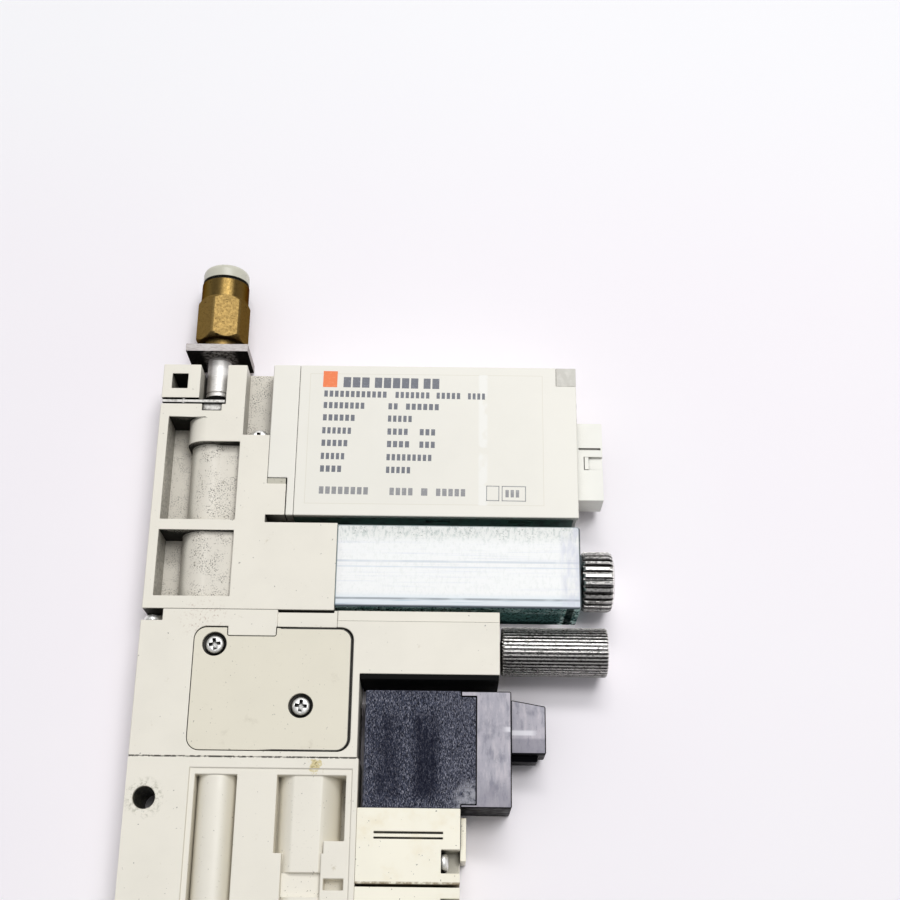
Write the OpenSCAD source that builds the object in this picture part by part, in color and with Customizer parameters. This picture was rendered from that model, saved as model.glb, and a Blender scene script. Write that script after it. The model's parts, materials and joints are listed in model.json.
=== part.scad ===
// Compact vacuum ejector unit: a flat stack of moulded bodies with a suction filter,
// a pressure switch, a release-flow needle and two solenoid pilot valves.
// It lies on its back face (z = 0). The upper mounting hole is the origin, +Y runs
// towards the vacuum port and +X towards the knobs and connectors.

/* [Body] */
// Thickness of the unit, the width that it takes in a bank of units
body_t = 9.9; // [9.7:0.1:11]
// Left edge to the axis of the mounting holes
edge_margin = 2.9; // [2.6:0.1:3.6]
// Mounting hole axis to the joint between lower and middle body
lower_top = 6.15; // [6:0.05:7.5]
// Width of the lower and middle bodies
body_w = 34.7; // [34.4:0.1:36]
// Height of the middle body
mid_h = 22.8; // [22.4:0.1:24]
// Height of the wide foot of the upper body
rail_h = 14.35; // [14.1:0.05:16]
// Width of that foot
rail_w = 30.05; // [29.8:0.05:32]
// Height of the column of the upper body above its foot
column_h = 27.55; // [27.3:0.05:30]
// Width of the open part of the column
column_w = 13.9; // [13.7:0.1:14.6]
// Width of the ledge between the column and the switch
ledge_w = 4.45; // [4.2:0.05:5.5]
// Diameter of the mounting holes
mount_d = 3.35; // [3.2:0.05:3.6]

/* [Pockets] */
// Thickness of the thin left wall beside the pockets
wall_t = 1.55; // [1.2:0.05:1.8]
// Height of the rib between the two pockets of the column
rib_h = 1.8; // [1.2:0.1:3]
// Height of the lower pocket
pocket_low_h = 10.85; // [9:0.05:11.2]
// Height of the upper pocket
pocket_up_h = 17.7; // [16:0.1:17.9]
// Floor of the pockets above the back face
pocket_floor = 3.8; // [3:0.1:4.4]
// Diameter of the vertical vacuum duct that shows in the pockets
duct_d = 8.2; // [7:0.1:8.4]
// Diameter of the ejector tube that shows in the lower body
ejector_d = 6.2; // [5.6:0.1:6.6]
// Diameter of the valve chamber that shows in the lower body
chamber_d = 9.6; // [9:0.1:9.8]

/* [Cover plate] */
// Left edge of the body to the plate
plate_margin = 8.6; // [7.5:0.1:9.5]
// Width of the plate
plate_w = 24.4; // [22:0.1:24.8]
// Height of the plate
plate_h = 18.85; // [17:0.05:19.4]
// Thickness of the plate
plate_t = 1.5; // [1.2:0.1:2.5]
// Width of the body's tab in the plate's top edge
tab_w = 7.7; // [5:0.1:9]
// Diameter of the plate screws
plate_screw_d = 1.7; // [1.4:0.1:2]
// Diameter of their heads
plate_head_d = 3.1; // [2.8:0.1:3.4]

/* [Port fitting] */
// Diameter of the adapter stem
stem_d = 4.0; // [3.7:0.1:4.3]
// Left edge of the body to the axis of the vacuum port
port_x = 8.45; // [8.2:0.05:9]
// Length of the channel that holds the stem
channel_l = 8.25; // [8:0.05:9]
// Height of the adapter flange above the body
flange_lift = 2.75; // [1:0.05:5]
// Side of the adapter flange
flange_w = 10.4; // [9:0.1:11]
// Depth of the adapter flange
flange_depth = 8.9; // [8:0.1:9.6]
// Thickness of the adapter flange
flange_t = 1.35; // [1:0.05:2]
// Hexagon of the brass fitting across its flats
hex_af = 8; // [7:0.5:9]
// Length of the hexagon
hex_l = 7.9; // [6:0.1:10]
// Turn of the hexagon about the port axis
hex_turn = 15; // [0:1:30]
// Diameter of the brass barrel
barrel_d = 8.1; // [7.6:0.1:8.4]
// Length of the barrel above the hexagon
barrel_l = 3.2; // [2.5:0.1:6]
// Tube that the fitting takes
tube_d = 4; // [3.2:0.1:4.4]
// Diameter of the release collar
collar_d = 7.9; // [7:0.1:8.3]
// Height of the release collar's head
collar_h = 2.4; // [1.6:0.1:3.5]
// Push travel of the release collar
collar_travel = 0.5; // [0.3:0.05:0.6]
// Thickness of the flat retaining clip
clip_t = 0.5; // [0.4:0.05:0.6]

/* [Switch] */
// Width of the switch housing
switch_w = 45.85; // [42:0.05:50]
// Height of the switch housing
switch_h = 26.4; // [25.8:0.1:30]
// Gap between the foot of the upper body and the switch
switch_gap = 1.25; // [0.8:0.05:1.5]
// Width of the bracket between column and switch
bracket_w = 4.45; // [4.2:0.05:5.5]
// Height of the white plug socket
socket_h = 13.5; // [11:0.1:14]
// Reach of the plug socket
socket_reach = 4.3; // [3.5:0.1:6]
// Depth of the plug socket
socket_depth = 5.6; // [5.2:0.1:6.5]
// Side of the clear indicator window
window_w = 3.3; // [2:0.1:4]
// Diameter of the two setting buttons
set_button_d = 1.8; // [1.2:0.1:2]

/* [Filter] */
// Length of the clear filter case
case_l = 38.7; // [34:0.1:44]
// Height of the filter case
case_h = 13.5; // [12.8:0.1:13.8]
// Gap between the middle body and the filter case
case_gap = 0.6; // [0.3:0.05:0.6]
// Wall of the filter case
case_wall = 1.1; // [0.8:0.05:1.2]
// End wall of the filter case
case_end = 2.6; // [1.8:0.1:3.5]
// Height of the filter element
element_h = 9.4; // [8.6:0.1:10]
// Diameter of the filter knob
filter_knob_d = 9.7; // [8.5:0.1:9.8]
// Length of the filter knob
filter_knob_l = 5; // [4:0.1:8]
// Diameter of the filter knob's rod
filter_rod_d = 2.6; // [2:0.1:3]

/* [Flow needle] */
// Length of the arm that carries the flow needle
arm_l = 21.25; // [20:0.05:23]
// Height of the arm
arm_h = 9.95; // [9.2:0.05:10.4]
// Diameter of the needle knob
needle_knob_d = 7.7; // [7:0.1:8.4]
// Length of the needle knob
needle_knob_l = 16.7; // [12:0.1:20]
// Diameter of the needle shaft
needle_d = 3; // [2.4:0.1:3.6]

/* [Valves] */
// Width of a valve body
valve_w = 15.35; // [15:0.05:17]
// Height of a valve body
valve_h = 10.85; // [10.4:0.05:12]
// Upper face of the upper valve above the mounting hole axis
valve_top = -1.1; // [-1.5:0.05:-0.9]
// Gap between the two valve bodies
pair_gap = 0.4; // [0.2:0.05:0.8]
// Width of a solenoid coil
coil_w = 16.85; // [16.5:0.05:18]
// Height of a solenoid coil
coil_h = 17.6; // [17:0.05:18]
// Gap between the body and a coil
coil_gap = 0.75; // [0.5:0.05:1]
// Width of a coil's end cap
cap_w = 5.4; // [4:0.1:7]
// Reach of a coil's plug socket
plug_reach = 5.4; // [4:0.05:7]
// Diameter of a manual override button
override_d = 2.4; // [1.8:0.1:2.8]

/* [Hidden] */
$fn = 48;

// Clearances
fit = 0.05;        // running and seating clearance, on the radius
plate_gap = 0.1;   // round the cover plate
plate_play = 0.2;  // more of it at the right and the top, where the plate has slipped
eps = 0.5;         // how far a cut runs past the face that it opens

// Colours
body_color = "#e4e0d2";
cream_color = "#efecdf";
valve_color = "#f1e9d2";
coil_color = "#2c2d33";
cap_color = "#4a4a50";
steel_color = "#c9c9c6";
brass_color = "#b08d46";

// Main lines of the stack
x_left = -edge_margin;
x_body = x_left + body_w;
x_rail = x_left + rail_w;
x_column = x_left + column_w;
x_ledge = x_column + ledge_w;
x_bracket = x_ledge + bracket_w;
x_switch = x_bracket + switch_w;
x_case = x_rail + case_l;
x_arm = x_body + arm_l;
y_mid = lower_top;
y_upper = y_mid + mid_h;
y_rail = y_upper + rail_h;
y_top = y_rail + column_h;
case_y0 = y_upper + case_gap;
case_y1 = case_y0 + case_h;
case_head_gap = 0.25;
y_switch = max(y_rail, case_y1 + case_head_gap) + switch_gap;
y_pair = valve_top - valve_h - pair_gap / 2;
y_bottom = 2 * y_pair - valve_top - coil_h;
z_mid = body_t / 2;

// ---------- shared shapes ----------

// A block between two opposite corners
module block(a, b) {
    translate(a) cube(b - a);
}

// A rectangle with round corners, between two opposite corners
module rounded(a, b, r) {
    translate([a.x + r, a.y]) square([b.x - a.x - 2 * r, b.y - a.y]);
    translate([a.x, a.y + r]) square([b.x - a.x, b.y - a.y - 2 * r]);
    for (x = [a.x + r, b.x - r], y = [a.y + r, b.y - r])
        translate([x, y]) circle(r);
}

// Turn a shape built along +Z to run along +X or +Y from a point
module along_x(p) {
    translate(p) rotate([0, 90, 0]) children();
}

module along_y(p) {
    translate(p) rotate([-90, 0, 0]) children();
}

// The same shape at the upper valve, or mirrored for the lower one
module lower_side() {
    translate([0, 2 * y_pair, 0]) mirror([0, 1, 0]) children();
}

// Outline of a straight-knurled knob: ridges with flat tops
function knurl(r, depth, ridges) = [
    for (i = [0 : ridges - 1], k = [0 : 3])
        let (a = 360 / ridges * (i + [0.06, 0.44, 0.62, 0.88][k]), q = k < 2 ? r : r - depth)
            [q * cos(a), q * sin(a)]
];

// A knurled barrel of length l with a chamfered inner end and a rounder outer one
module knurled_barrel(d, l, depth, ridges, chamfer, tip) {
    r = d / 2;
    intersection() {
        linear_extrude(l) polygon(knurl(r, depth, ridges));
        rotate_extrude() polygon([[0, 0], [r - chamfer, 0], [r + fit, chamfer + fit],
            [r + fit, l - tip], [r - tip * 0.3, l - tip * 0.35], [r - tip, l], [0, l]]);
    }
}

// A pan head with a cross recess, seated at z = 0, and its shank below
module pan_screw(head_d, head_h, shank_d, shank_l) {
    slot_w = head_d * 0.17;
    slot_l = head_d * 0.58;
    difference() {
        union() {
            rotate_extrude() polygon([[0, 0], [head_d / 2, 0], [head_d / 2, head_h * 0.5],
                [head_d * 0.41, head_h * 0.85], [head_d * 0.3, head_h], [0, head_h]]);
            translate([0, 0, -shank_l]) cylinder(d = shank_d, h = shank_l + head_h / 2);
        }
        for (a = [0, 90]) rotate(a)
            translate([-slot_l / 2, -slot_w / 2, head_h * 0.35]) cube([slot_l, slot_w, head_h]);
    }
}

// ---------- upper body ----------

pocket_x0 = x_left + wall_t;
pocket_x1 = x_column - 0.4;
pocket_low_y0 = y_rail - 1.4 - pocket_low_h;
pocket_low_y1 = pocket_low_y0 + pocket_low_h;
pocket_up_y0 = pocket_low_y1 + rib_h;
pocket_up_y1 = pocket_up_y0 + pocket_up_h;
// The duct that stands in each pocket: its diameter, its axis and the flat at its right
duct_x0 = pocket_x1 - duct_d - 0.25;
duct_low = [duct_d, duct_x0 - 0.45 + duct_d / 2, z_mid + duct_d / 2 - 0.08];
duct_up_d = duct_d - 1.1;
duct_up = [duct_up_d, duct_x0 + duct_up_d / 2, z_mid + duct_up_d / 2 - 0.5];
boss_h = 4.3;
boss_r = 3.4;
boss_x0 = duct_x0 - 0.5;
ledge_up = 15.05;
ledge_y = y_rail + ledge_up;
ledge_floor = 5.6;
hook_y0 = y_switch;
hook_h = 5.35;
hook_y1 = hook_y0 + hook_h;
hook_w = 3.1;
stem_x = x_left + port_x;
stem_z = z_mid;
channel_w = stem_d + 0.45;
channel_y0 = y_top - channel_l;
stem_end_d = stem_d - 0.9;
end_slot_w = stem_end_d + 2 * fit;
clip_y = y_top - 6.55;
clip_slot_h = 1.05;
clip_x1 = stem_x + channel_w / 2;
square_hole = 2.6;
ledge_screw_x = x_column + ledge_w / 2 - 0.1;
ledge_head_d = 3.5;
ledge_head_h = 1.1;
ledge_screw_d = 2;
ledge_screw_y = ledge_y + 0.65;
rod_y = case_y0 + case_wall + fit + element_h / 2;

// Foot, column and the hook that the switch hangs on
module upper_outline() {
    translate([x_left, y_upper]) square([rail_w, rail_h]);
    translate([x_left, y_upper]) square([column_w + ledge_w, y_top - y_upper]);
    translate([x_ledge - eps, hook_y0]) square([hook_w + eps, hook_y1 - hook_y0]);
}

// What a pocket takes out: the box less the duct that stands in it
module pocket(y0, y1, duct) {
    difference() {
        block([pocket_x0, y0, pocket_floor], [pocket_x1, y1, body_t + eps]);
        along_y([duct[1], y0 - eps, z_mid]) cylinder(d = duct[0], h = y1 - y0 + 2 * eps);
        block([duct[1], y0 - eps, 0], [pocket_x1 + eps, y1 + eps, duct[2]]);
    }
}

// The thick boss at the top of the upper pocket, with a round left shoulder
module pocket_boss() {
    y0 = pocket_up_y1 - boss_h;
    block([boss_x0 + boss_r, y0, 0], [x_column, y_top, body_t]);
    block([boss_x0, y0, 0], [x_column, y_top, body_t - boss_r]);
    along_y([boss_x0 + boss_r, y0, body_t - boss_r]) cylinder(r = boss_r, h = y_top - y0);
}

module upper_body() {
    color(body_color) difference() {
        linear_extrude(body_t) upper_outline();
        pocket(pocket_low_y0, pocket_low_y1, duct_low);
        difference() {
            pocket(pocket_up_y0, pocket_up_y1, duct_up);
            pocket_boss();
        }
        // sunk ledge between the column and the switch, with a seat for its screw
        block([x_column, ledge_y, ledge_floor], [x_ledge + eps, y_top + eps, body_t + eps]);
        translate([ledge_screw_x, ledge_screw_y, ledge_floor])
            cylinder(d = ledge_head_d + 0.3, h = ledge_head_h + 0.6);
        translate([ledge_screw_x, ledge_screw_y, -eps])
            cylinder(d = ledge_screw_d + 2 * fit, h = body_t);
        // channel for the stem, open to the front and at the top
        along_y([stem_x, clip_y, stem_z]) cylinder(d = channel_w, h = y_top - clip_y + eps);
        block([stem_x - channel_w / 2, clip_y, stem_z],
            [stem_x + channel_w / 2, y_top + eps, body_t + eps]);
        // narrower slot for the end of the stem
        along_y([stem_x, channel_y0, stem_z]) cylinder(d = end_slot_w, h = clip_y - channel_y0 + eps);
        block([stem_x - end_slot_w / 2, channel_y0, stem_z],
            [stem_x + end_slot_w / 2, clip_y + eps, body_t + eps]);
        // vacuum passage from the stem down the duct to the filter
        along_y([stem_x, rod_y + 2.2, stem_z]) cylinder(d = 1.6, h = channel_y0 - rod_y);
        // slot for the retaining clip, open to the left and the front
        block([x_left - eps, clip_y - clip_slot_h / 2, 1.8],
            [clip_x1, clip_y + clip_slot_h / 2, body_t + eps]);
        // square latch hole
        block([x_left + wall_t, clip_y + 2.25, 2],
            [x_left + wall_t + square_hole, clip_y + 2.25 + square_hole, body_t + eps]);
        // threaded end of the filter rod
        along_x([x_rail - 6, rod_y, z_mid]) cylinder(d = filter_rod_d + 2 * fit, h = 6 + eps);
        // air passage into the filter case
        along_x([stem_x, rod_y + 3, z_mid]) cylinder(d = 2, h = x_rail - stem_x + eps);
    }
}

// ---------- middle body ----------

plate_x0 = x_left + plate_margin;
plate_x1 = plate_x0 + plate_w;
plate_y0 = y_mid + 1;
plate_y1 = plate_y0 + plate_h;
plate_r = 1.9;
tab_x0 = plate_x0 + 5;
tab_x1 = tab_x0 + tab_w;
tab_h = 1.35;
tab_r = 0.4;
plate_screw_in = [[3.15, 2.6], [7.45, 6.8]];
plate_screws = [[plate_x0 + plate_screw_in[0].x, plate_y1 - plate_screw_in[0].y],
    [plate_x1 - plate_screw_in[1].x, plate_y0 + plate_screw_in[1].y]];
plate_screw_l = 6;
plate_head_h = 1.2;
head_sink = 0.25;
arm_y0 = y_upper - arm_h;
x_mid = x_body - 0.3;
needle_y = arm_y0 + 4.8;
needle_l = 12;
needle_knurl = 0.25;
needle_ridges = 40;
tie_x = x_left + 1.4;
tie_z = body_t - 2;
tie_head_d = 2.6;
tie_head_h = 1.1;
tie_d = 1.6;
tie_l = 8;
notch_w = 3.35;
notch_h = 1.85;
notch_floor = body_t - 4.2;

// Outline of the cover plate, grown by g on every side and by the play at the right and top
module plate_outline(g, play) {
    difference() {
        rounded([plate_x0 - g, plate_y0 - g], [plate_x1 + g + play, plate_y1 + g + play / 2], plate_r + g);
        translate([tab_x0 + g, plate_y1 - tab_h + tab_r + g])
            square([tab_w - 2 * g, tab_h + eps]);
        translate([tab_x0 + tab_r, plate_y1 - tab_h + g])
            square([tab_w - 2 * tab_r, tab_h + eps]);
        for (x = [tab_x0 + tab_r, tab_x1 - tab_r])
            translate([x, plate_y1 - tab_h + tab_r]) circle(tab_r - g);
    }
}

module mid_body() {
    plate_seat = body_t - plate_t;
    color(body_color) difference() {
        union() {
            block([x_left, y_mid, 0], [x_mid, y_upper, body_t]);
            block([x_mid - eps, arm_y0, 0], [x_arm, y_upper, body_t]);
        }
        translate([0, 0, plate_seat]) linear_extrude(plate_t + eps) plate_outline(plate_gap, plate_play);
        for (p = plate_screws) translate([p.x, p.y, plate_seat - plate_screw_l])
            cylinder(d = plate_screw_d + 2 * fit, h = plate_screw_l + eps);
        // notch with the head of the tie screw
        block([x_left - eps, y_upper - notch_h, notch_floor],
            [x_left + notch_w, y_upper + eps, body_t + eps]);
        along_y([tie_x, y_upper - notch_h - tie_l, tie_z])
            cylinder(d = tie_d + 2 * fit, h = tie_l + eps);
        // sunk strip and slit beside the tab
        block([tab_x1, plate_y1 + plate_gap, body_t - 0.3], [x_rail + 0.6, y_upper + eps, body_t + eps]);
        block([tab_x1, y_upper - 0.35, body_t - 2.2], [x_rail, y_upper + eps, body_t]);
        // faint step along the top of the arm
        block([x_rail, y_upper - 1.65, body_t - 0.15], [x_arm + eps, y_upper + eps, body_t + eps]);
        // seat of the flow needle
        along_x([x_arm - needle_l, needle_y, z_mid])
            cylinder(d = needle_d + 2 * fit, h = needle_l + eps);
    }
}

module cover_plate() {
    color("#ddd8c6") difference() {
        translate([0, 0, body_t - plate_t]) linear_extrude(plate_t) plate_outline(0, 0);
        for (p = plate_screws) translate([p.x, p.y, body_t - plate_t - eps]) {
            cylinder(d = plate_screw_d + 2 * fit, h = plate_t + 2 * eps);
            translate([0, 0, plate_t + eps - plate_head_h - head_sink + 0.15])
                cylinder(d = plate_head_d + 0.7, h = plate_head_h + eps);
        }
    }
}

module cover_screws() {
    seat = body_t - plate_head_h - head_sink + 0.15;
    color(steel_color) for (i = [0, 1]) translate([plate_screws[i].x, plate_screws[i].y, seat])
        rotate(8 - 14 * i) pan_screw(plate_head_d, plate_head_h, plate_screw_d, plate_screw_l);
}

module tie_screw() {
    color(steel_color) along_y([tie_x, y_upper - notch_h, tie_z])
        pan_screw(tie_head_d, tie_head_h, tie_d, tie_l - 0.5);
}

module ledge_screw() {
    color(steel_color) translate([ledge_screw_x, ledge_screw_y, ledge_floor])
        pan_screw(ledge_head_d, ledge_head_h, ledge_screw_d, ledge_floor - 0.2);
}

// ---------- lower body ----------

frame_in = 9.4;
frame_x0 = x_left + frame_in;
frame_x1 = x_body - 0.9;
frame_y1 = lower_top - 1.65;
frame_sink = 0.25;
pocket_top = frame_y1 - 0.95;
ejector_x = frame_x0 + 0.9 + ejector_d / 2;
ejector_z = body_t - 0.35 - ejector_d / 2;
chamber_x0 = ejector_x + ejector_d / 2 + 6.1;
chamber_x1 = frame_x1 - 0.9;
chamber_x = chamber_x0 + chamber_d / 2 - 0.2;
chamber_end = y_pair + 1.7;
bay_w = 5.8;
lug_x0 = chamber_x1 - 3;
lug_y = [y_pair + 0.95, y_pair + 6.2];
nozzle_d = 3.2;
nozzle_l = 9;
nozzle_tip = nozzle_l * 0.18;
nozzle_land = nozzle_l * 0.27;
nozzle_waist = [nozzle_l * 0.44, nozzle_l * 0.58];
diffuser_l = 24;
diffuser_throat = diffuser_l * 0.58;
diffuser_flare = diffuser_l * 0.9;
nozzle_y = y_pair + 2;
supply_d = 4.2;
supply_x = chamber_x;
port_l = 8;
passage_l = 18;

module lower_pockets() {
    // ejector tube in its long pocket, the same above and below the middle
    difference() {
        block([ejector_x - ejector_d / 2 - 0.05, 2 * y_pair - pocket_top, ejector_z - 1],
            [ejector_x + ejector_d / 2 + 0.05, pocket_top, body_t + eps]);
        along_y([ejector_x, 2 * y_pair - pocket_top - eps, ejector_z])
            cylinder(d = ejector_d, h = 2 * (pocket_top - y_pair) + 2 * eps);
    }
    // chambers of the valve spools, with a flat along each crest
    chamber_pocket();
    lower_side() chamber_pocket();
    // bay between the two chambers
    block([chamber_x0 + 1.2, 2 * y_pair - chamber_end, body_t - 1.3],
        [chamber_x0 + 1.2 + bay_w, chamber_end, body_t + eps]);
    // small latch pocket at the middle
    block([lug_x0 + 0.2, y_pair - 0.75, body_t - 2.6], [chamber_x1 + 0.1, y_pair + 0.85, body_t + eps]);
}

module chamber_pocket() {
    difference() {
        union() {
            block([chamber_x0, lug_y[1] - 1.8, pocket_floor], [chamber_x1, pocket_top, body_t + eps]);
            block([chamber_x0 + 1.2, chamber_end, pocket_floor], [lug_x0 - 0.3, lug_y[1], body_t + eps]);
        }
        intersection() {
            along_y([chamber_x, chamber_end - eps, z_mid])
                cylinder(d = chamber_d, h = pocket_top - chamber_end + 2 * eps);
            block([chamber_x0 - eps, chamber_end - 2 * eps, 0],
                [chamber_x1 + eps, pocket_top + 2 * eps, body_t - 0.55]);
        }
        block([lug_x0, lug_y[0], 0], [chamber_x1 + eps, lug_y[1], body_t]);
        // dark slit at the end of the chamber
        block([chamber_x0 - eps, chamber_end - eps, 0], [chamber_x1, chamber_end, body_t]);
    }
}

module lower_body() {
    color(body_color) difference() {
        block([x_left, y_bottom, 0], [x_body, y_mid, body_t]);
        for (y = [0, 2 * y_pair]) translate([0, y, -eps]) cylinder(d = mount_d, h = body_t + 2 * eps);
        block([frame_x0, 2 * y_pair - frame_y1, body_t - frame_sink], [frame_x1, frame_y1, body_t + eps]);
        lower_pockets();
        // supply port and exhaust bore in the bottom face
        along_y([supply_x, y_bottom - eps, z_mid]) cylinder(d = supply_d, h = port_l + eps);
        along_y([supply_x, y_bottom, z_mid]) cylinder(d = supply_d / 2, h = passage_l);
        along_y([ejector_x, y_bottom - eps, ejector_z])
            cylinder(d = nozzle_d + 2 * fit, h = nozzle_y + nozzle_l - y_bottom + eps);
        // threads of the valve screws
        for (side = [-1, 1]) along_x([x_body - valve_thread_l, y_pair + side * screw_off, screw_z])
            cylinder(d = valve_screw_d + 2 * fit, h = valve_thread_l + eps);
    }
}

// Jet nozzle: a drilled plug with a waist
module ejector_nozzle() {
    r = nozzle_d / 2;
    color(brass_color) along_y([ejector_x, nozzle_y, ejector_z]) difference() {
        rotate_extrude() polygon([[0, 0], [r * 0.56, 0], [r * 0.56, nozzle_tip], [r, nozzle_land],
            [r, nozzle_waist[0]], [r * 0.72, nozzle_waist[0]], [r * 0.72, nozzle_waist[1]],
            [r, nozzle_waist[1]], [r, nozzle_l], [0, nozzle_l]]);
        translate([0, 0, -eps]) cylinder(r = r * 0.22, h = nozzle_l + 2 * eps);
        translate([0, 0, nozzle_l * 0.4]) cylinder(r = r * 0.5, h = nozzle_l);
    }
}

// Diffuser: a sleeve whose bore widens towards the exhaust
module ejector_diffuser() {
    r = nozzle_d / 2;
    color(steel_color) along_y([ejector_x, nozzle_y - 0.6 - diffuser_l, ejector_z])
        rotate_extrude() polygon([[r * 0.69, 0], [r, 0], [r, diffuser_l], [r * 0.81, diffuser_l],
            [r * 0.38, diffuser_flare], [r * 0.38, diffuser_throat]]);
}

// ---------- vacuum port ----------

flange_y0 = y_top + flange_lift;
flange_y1 = flange_y0 + flange_t;
stem_end_y = channel_y0 + 0.3;
oring_y = clip_y + 1.75;
oring_w = 0.85;
oring_depth = 0.4;
clip_groove_d = stem_d - 1.1;
thread_d = 3;
thread_l = 3.2;
neck_d = 5.8;
neck_l = 1.7;
hex_blunt = 0.17;
hex_y0 = flange_y1 + neck_l;
hex_y1 = hex_y0 + hex_l;
barrel_y1 = hex_y1 + barrel_l;
socket_d = tube_d + 0.1;
mouth_d = tube_d + 2.5;
socket_y0 = hex_y0 + 1.5;
chuck_y0 = hex_y0 + 4.4;
collar_skirt = 3.6;
collar_y0 = barrel_y1 + collar_travel + 0.1;

module port_adapter() {
    stem_r = stem_d / 2;
    end_r = stem_end_d / 2;
    color("#b9b8b4") difference() {
        union() {
            block([stem_x - flange_w / 2, flange_y0, stem_z - flange_depth / 2],
                [stem_x + flange_w / 2, flange_y1, stem_z + flange_depth / 2]);
            along_y([stem_x, stem_end_y, stem_z]) rotate_extrude() polygon([
                [0, 0], [end_r - 0.2, 0], [end_r, 0.2], [end_r, clip_y - 0.35 - stem_end_y],
                [clip_groove_d / 2, clip_y - 0.35 - stem_end_y],
                [clip_groove_d / 2, clip_y + 0.35 - stem_end_y],
                [stem_r, clip_y + 0.35 - stem_end_y],
                [stem_r, oring_y - oring_w / 2 - stem_end_y],
                [stem_r - oring_depth, oring_y - oring_w / 2 - stem_end_y],
                [stem_r - oring_depth, oring_y + oring_w / 2 - stem_end_y],
                [stem_r, oring_y + oring_w / 2 - stem_end_y],
                [stem_r, oring_y + 1.05 - stem_end_y], [stem_r - 0.15, oring_y + 1.1 - stem_end_y],
                [stem_r - 0.15, oring_y + 1.25 - stem_end_y], [stem_r, oring_y + 1.3 - stem_end_y],
                [stem_r, flange_y0 + 0.2 - stem_end_y], [0, flange_y0 + 0.2 - stem_end_y]]);
        }
        along_y([stem_x, flange_y1 - thread_l, stem_z]) cylinder(d = thread_d + 2 * fit, h = thread_l + eps);
        along_y([stem_x, stem_end_y - eps, stem_z]) cylinder(d = 1.6, h = flange_y1 - stem_end_y);
    }
}

module stem_seal() {
    r = oring_w / 2 - 0.03;
    color("#1c1c1c") along_y([stem_x, oring_y, stem_z]) rotate_extrude()
        translate([stem_d / 2 - oring_depth + 0.02 + r, 0])
            intersection() {
                circle(r);
                translate([-r, -r]) square([2 * r - 0.35, 2 * r]);
            }
}

// Flat fork that straddles the stem's groove, with a small round pip on its front edge
module retaining_clip() {
    gap_r = clip_groove_d / 2 + fit;
    x0 = x_left + 0.15;
    z0 = 2;
    z1 = body_t - 0.15;
    pip_in = 3.65;
    pip_x = x_left + pip_in;
    tab_r = end_slot_w / 2 - fit;
    color(steel_color) {
        translate([0, clip_y + clip_t / 2, 0]) rotate([90, 0, 0]) linear_extrude(clip_t)
            difference() {
                translate([x0, z0]) square([clip_x1 - 0.15 - x0, z1 - z0]);
                translate([stem_x - gap_r, z0 - eps]) square([2 * gap_r, stem_z - z0 + eps]);
                translate([stem_x, stem_z]) circle(gap_r);
            }
        along_y([pip_x, clip_y - 0.45, z1 - 0.4]) cylinder(d = 0.8, h = 0.9);
        // bent tab that closes the end of the stem's slot
        block([stem_x - tab_r, channel_y0 + 0.3, z1 - 1], [stem_x + tab_r, clip_y, z1 - 0.5]);
    }
}

module fitting_body() {
    hex_r = hex_af / 2 / cos(30);
    color(brass_color) difference() {
        union() {
            // threaded end and neck
            along_y([stem_x, flange_y1 - thread_l + 0.2, stem_z]) cylinder(d = thread_d, h = thread_l);
            along_y([stem_x, flange_y1, stem_z]) cylinder(d = neck_d, h = neck_l + eps);
            // hexagon with turned ends and blunt corners
            intersection() {
                along_y([stem_x, hex_y0, stem_z]) rotate(hex_turn)
                    cylinder(r = hex_r, h = hex_l, $fn = 6);
                along_y([stem_x, hex_y0, stem_z]) rotate_extrude() polygon([
                    [0, 0], [hex_af / 2 - 0.1, 0], [hex_r - hex_blunt, 0.75],
                    [hex_r - hex_blunt, hex_l - 0.6], [hex_af / 2, hex_l], [0, hex_l]]);
            }
            along_y([stem_x, hex_y1 - 1, stem_z]) cylinder(d = barrel_d, h = barrel_l + 1);
        }
        along_y([stem_x, flange_y1 - thread_l - eps, stem_z]) cylinder(d = 1.6, h = barrel_y1 - y_top);
        along_y([stem_x, socket_y0, stem_z]) cylinder(d = socket_d, h = barrel_y1 - socket_y0);
        along_y([stem_x, chuck_y0 - 1.6, stem_z]) cylinder(d = mouth_d, h = barrel_y1 - chuck_y0 + 1.6 + eps);
    }
}

module fitting_seal() {
    color("#1c1c1c") along_y([stem_x, chuck_y0 - 1.6, stem_z]) difference() {
        cylinder(d = mouth_d - 2 * fit, h = 1.5);
        translate([0, 0, -eps]) cylinder(d = socket_d, h = 3);
    }
}

module fitting_chuck() {
    color(steel_color) along_y([stem_x, chuck_y0, stem_z]) difference() {
        cylinder(d = mouth_d - 2 * fit, h = collar_y0 - collar_skirt - collar_travel - 0.1 - chuck_y0);
        translate([0, 0, -eps]) cylinder(d = socket_d, h = barrel_y1 - chuck_y0);
    }
}

// Push collar: a thin skirt inside the barrel and a domed head outside it
module release_collar() {
    r = collar_d / 2;
    skirt_r = mouth_d / 2 - fit;
    bore_r = socket_d / 2;
    dome = 1.1;
    color("#cfd0c6") along_y([stem_x, collar_y0 - collar_skirt, stem_z]) rotate_extrude() difference() {
        union() {
            translate([bore_r, 0]) square([skirt_r - bore_r, collar_skirt + 0.2]);
            translate([bore_r, collar_skirt]) square([r - bore_r, collar_h - dome]);
            translate([bore_r, collar_skirt]) square([r - dome - bore_r, collar_h]);
            intersection() {
                translate([r - dome, collar_skirt + collar_h - dome]) circle(dome);
                translate([bore_r, collar_skirt]) square([r, collar_h]);
            }
        }
        translate([bore_r - 0.1, collar_skirt + collar_h - 0.4])
            polygon([[0, 0], [0.1, 0], [0.5, 0.5], [0, 0.5]]);
    }
}

// ---------- pressure switch ----------

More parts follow.
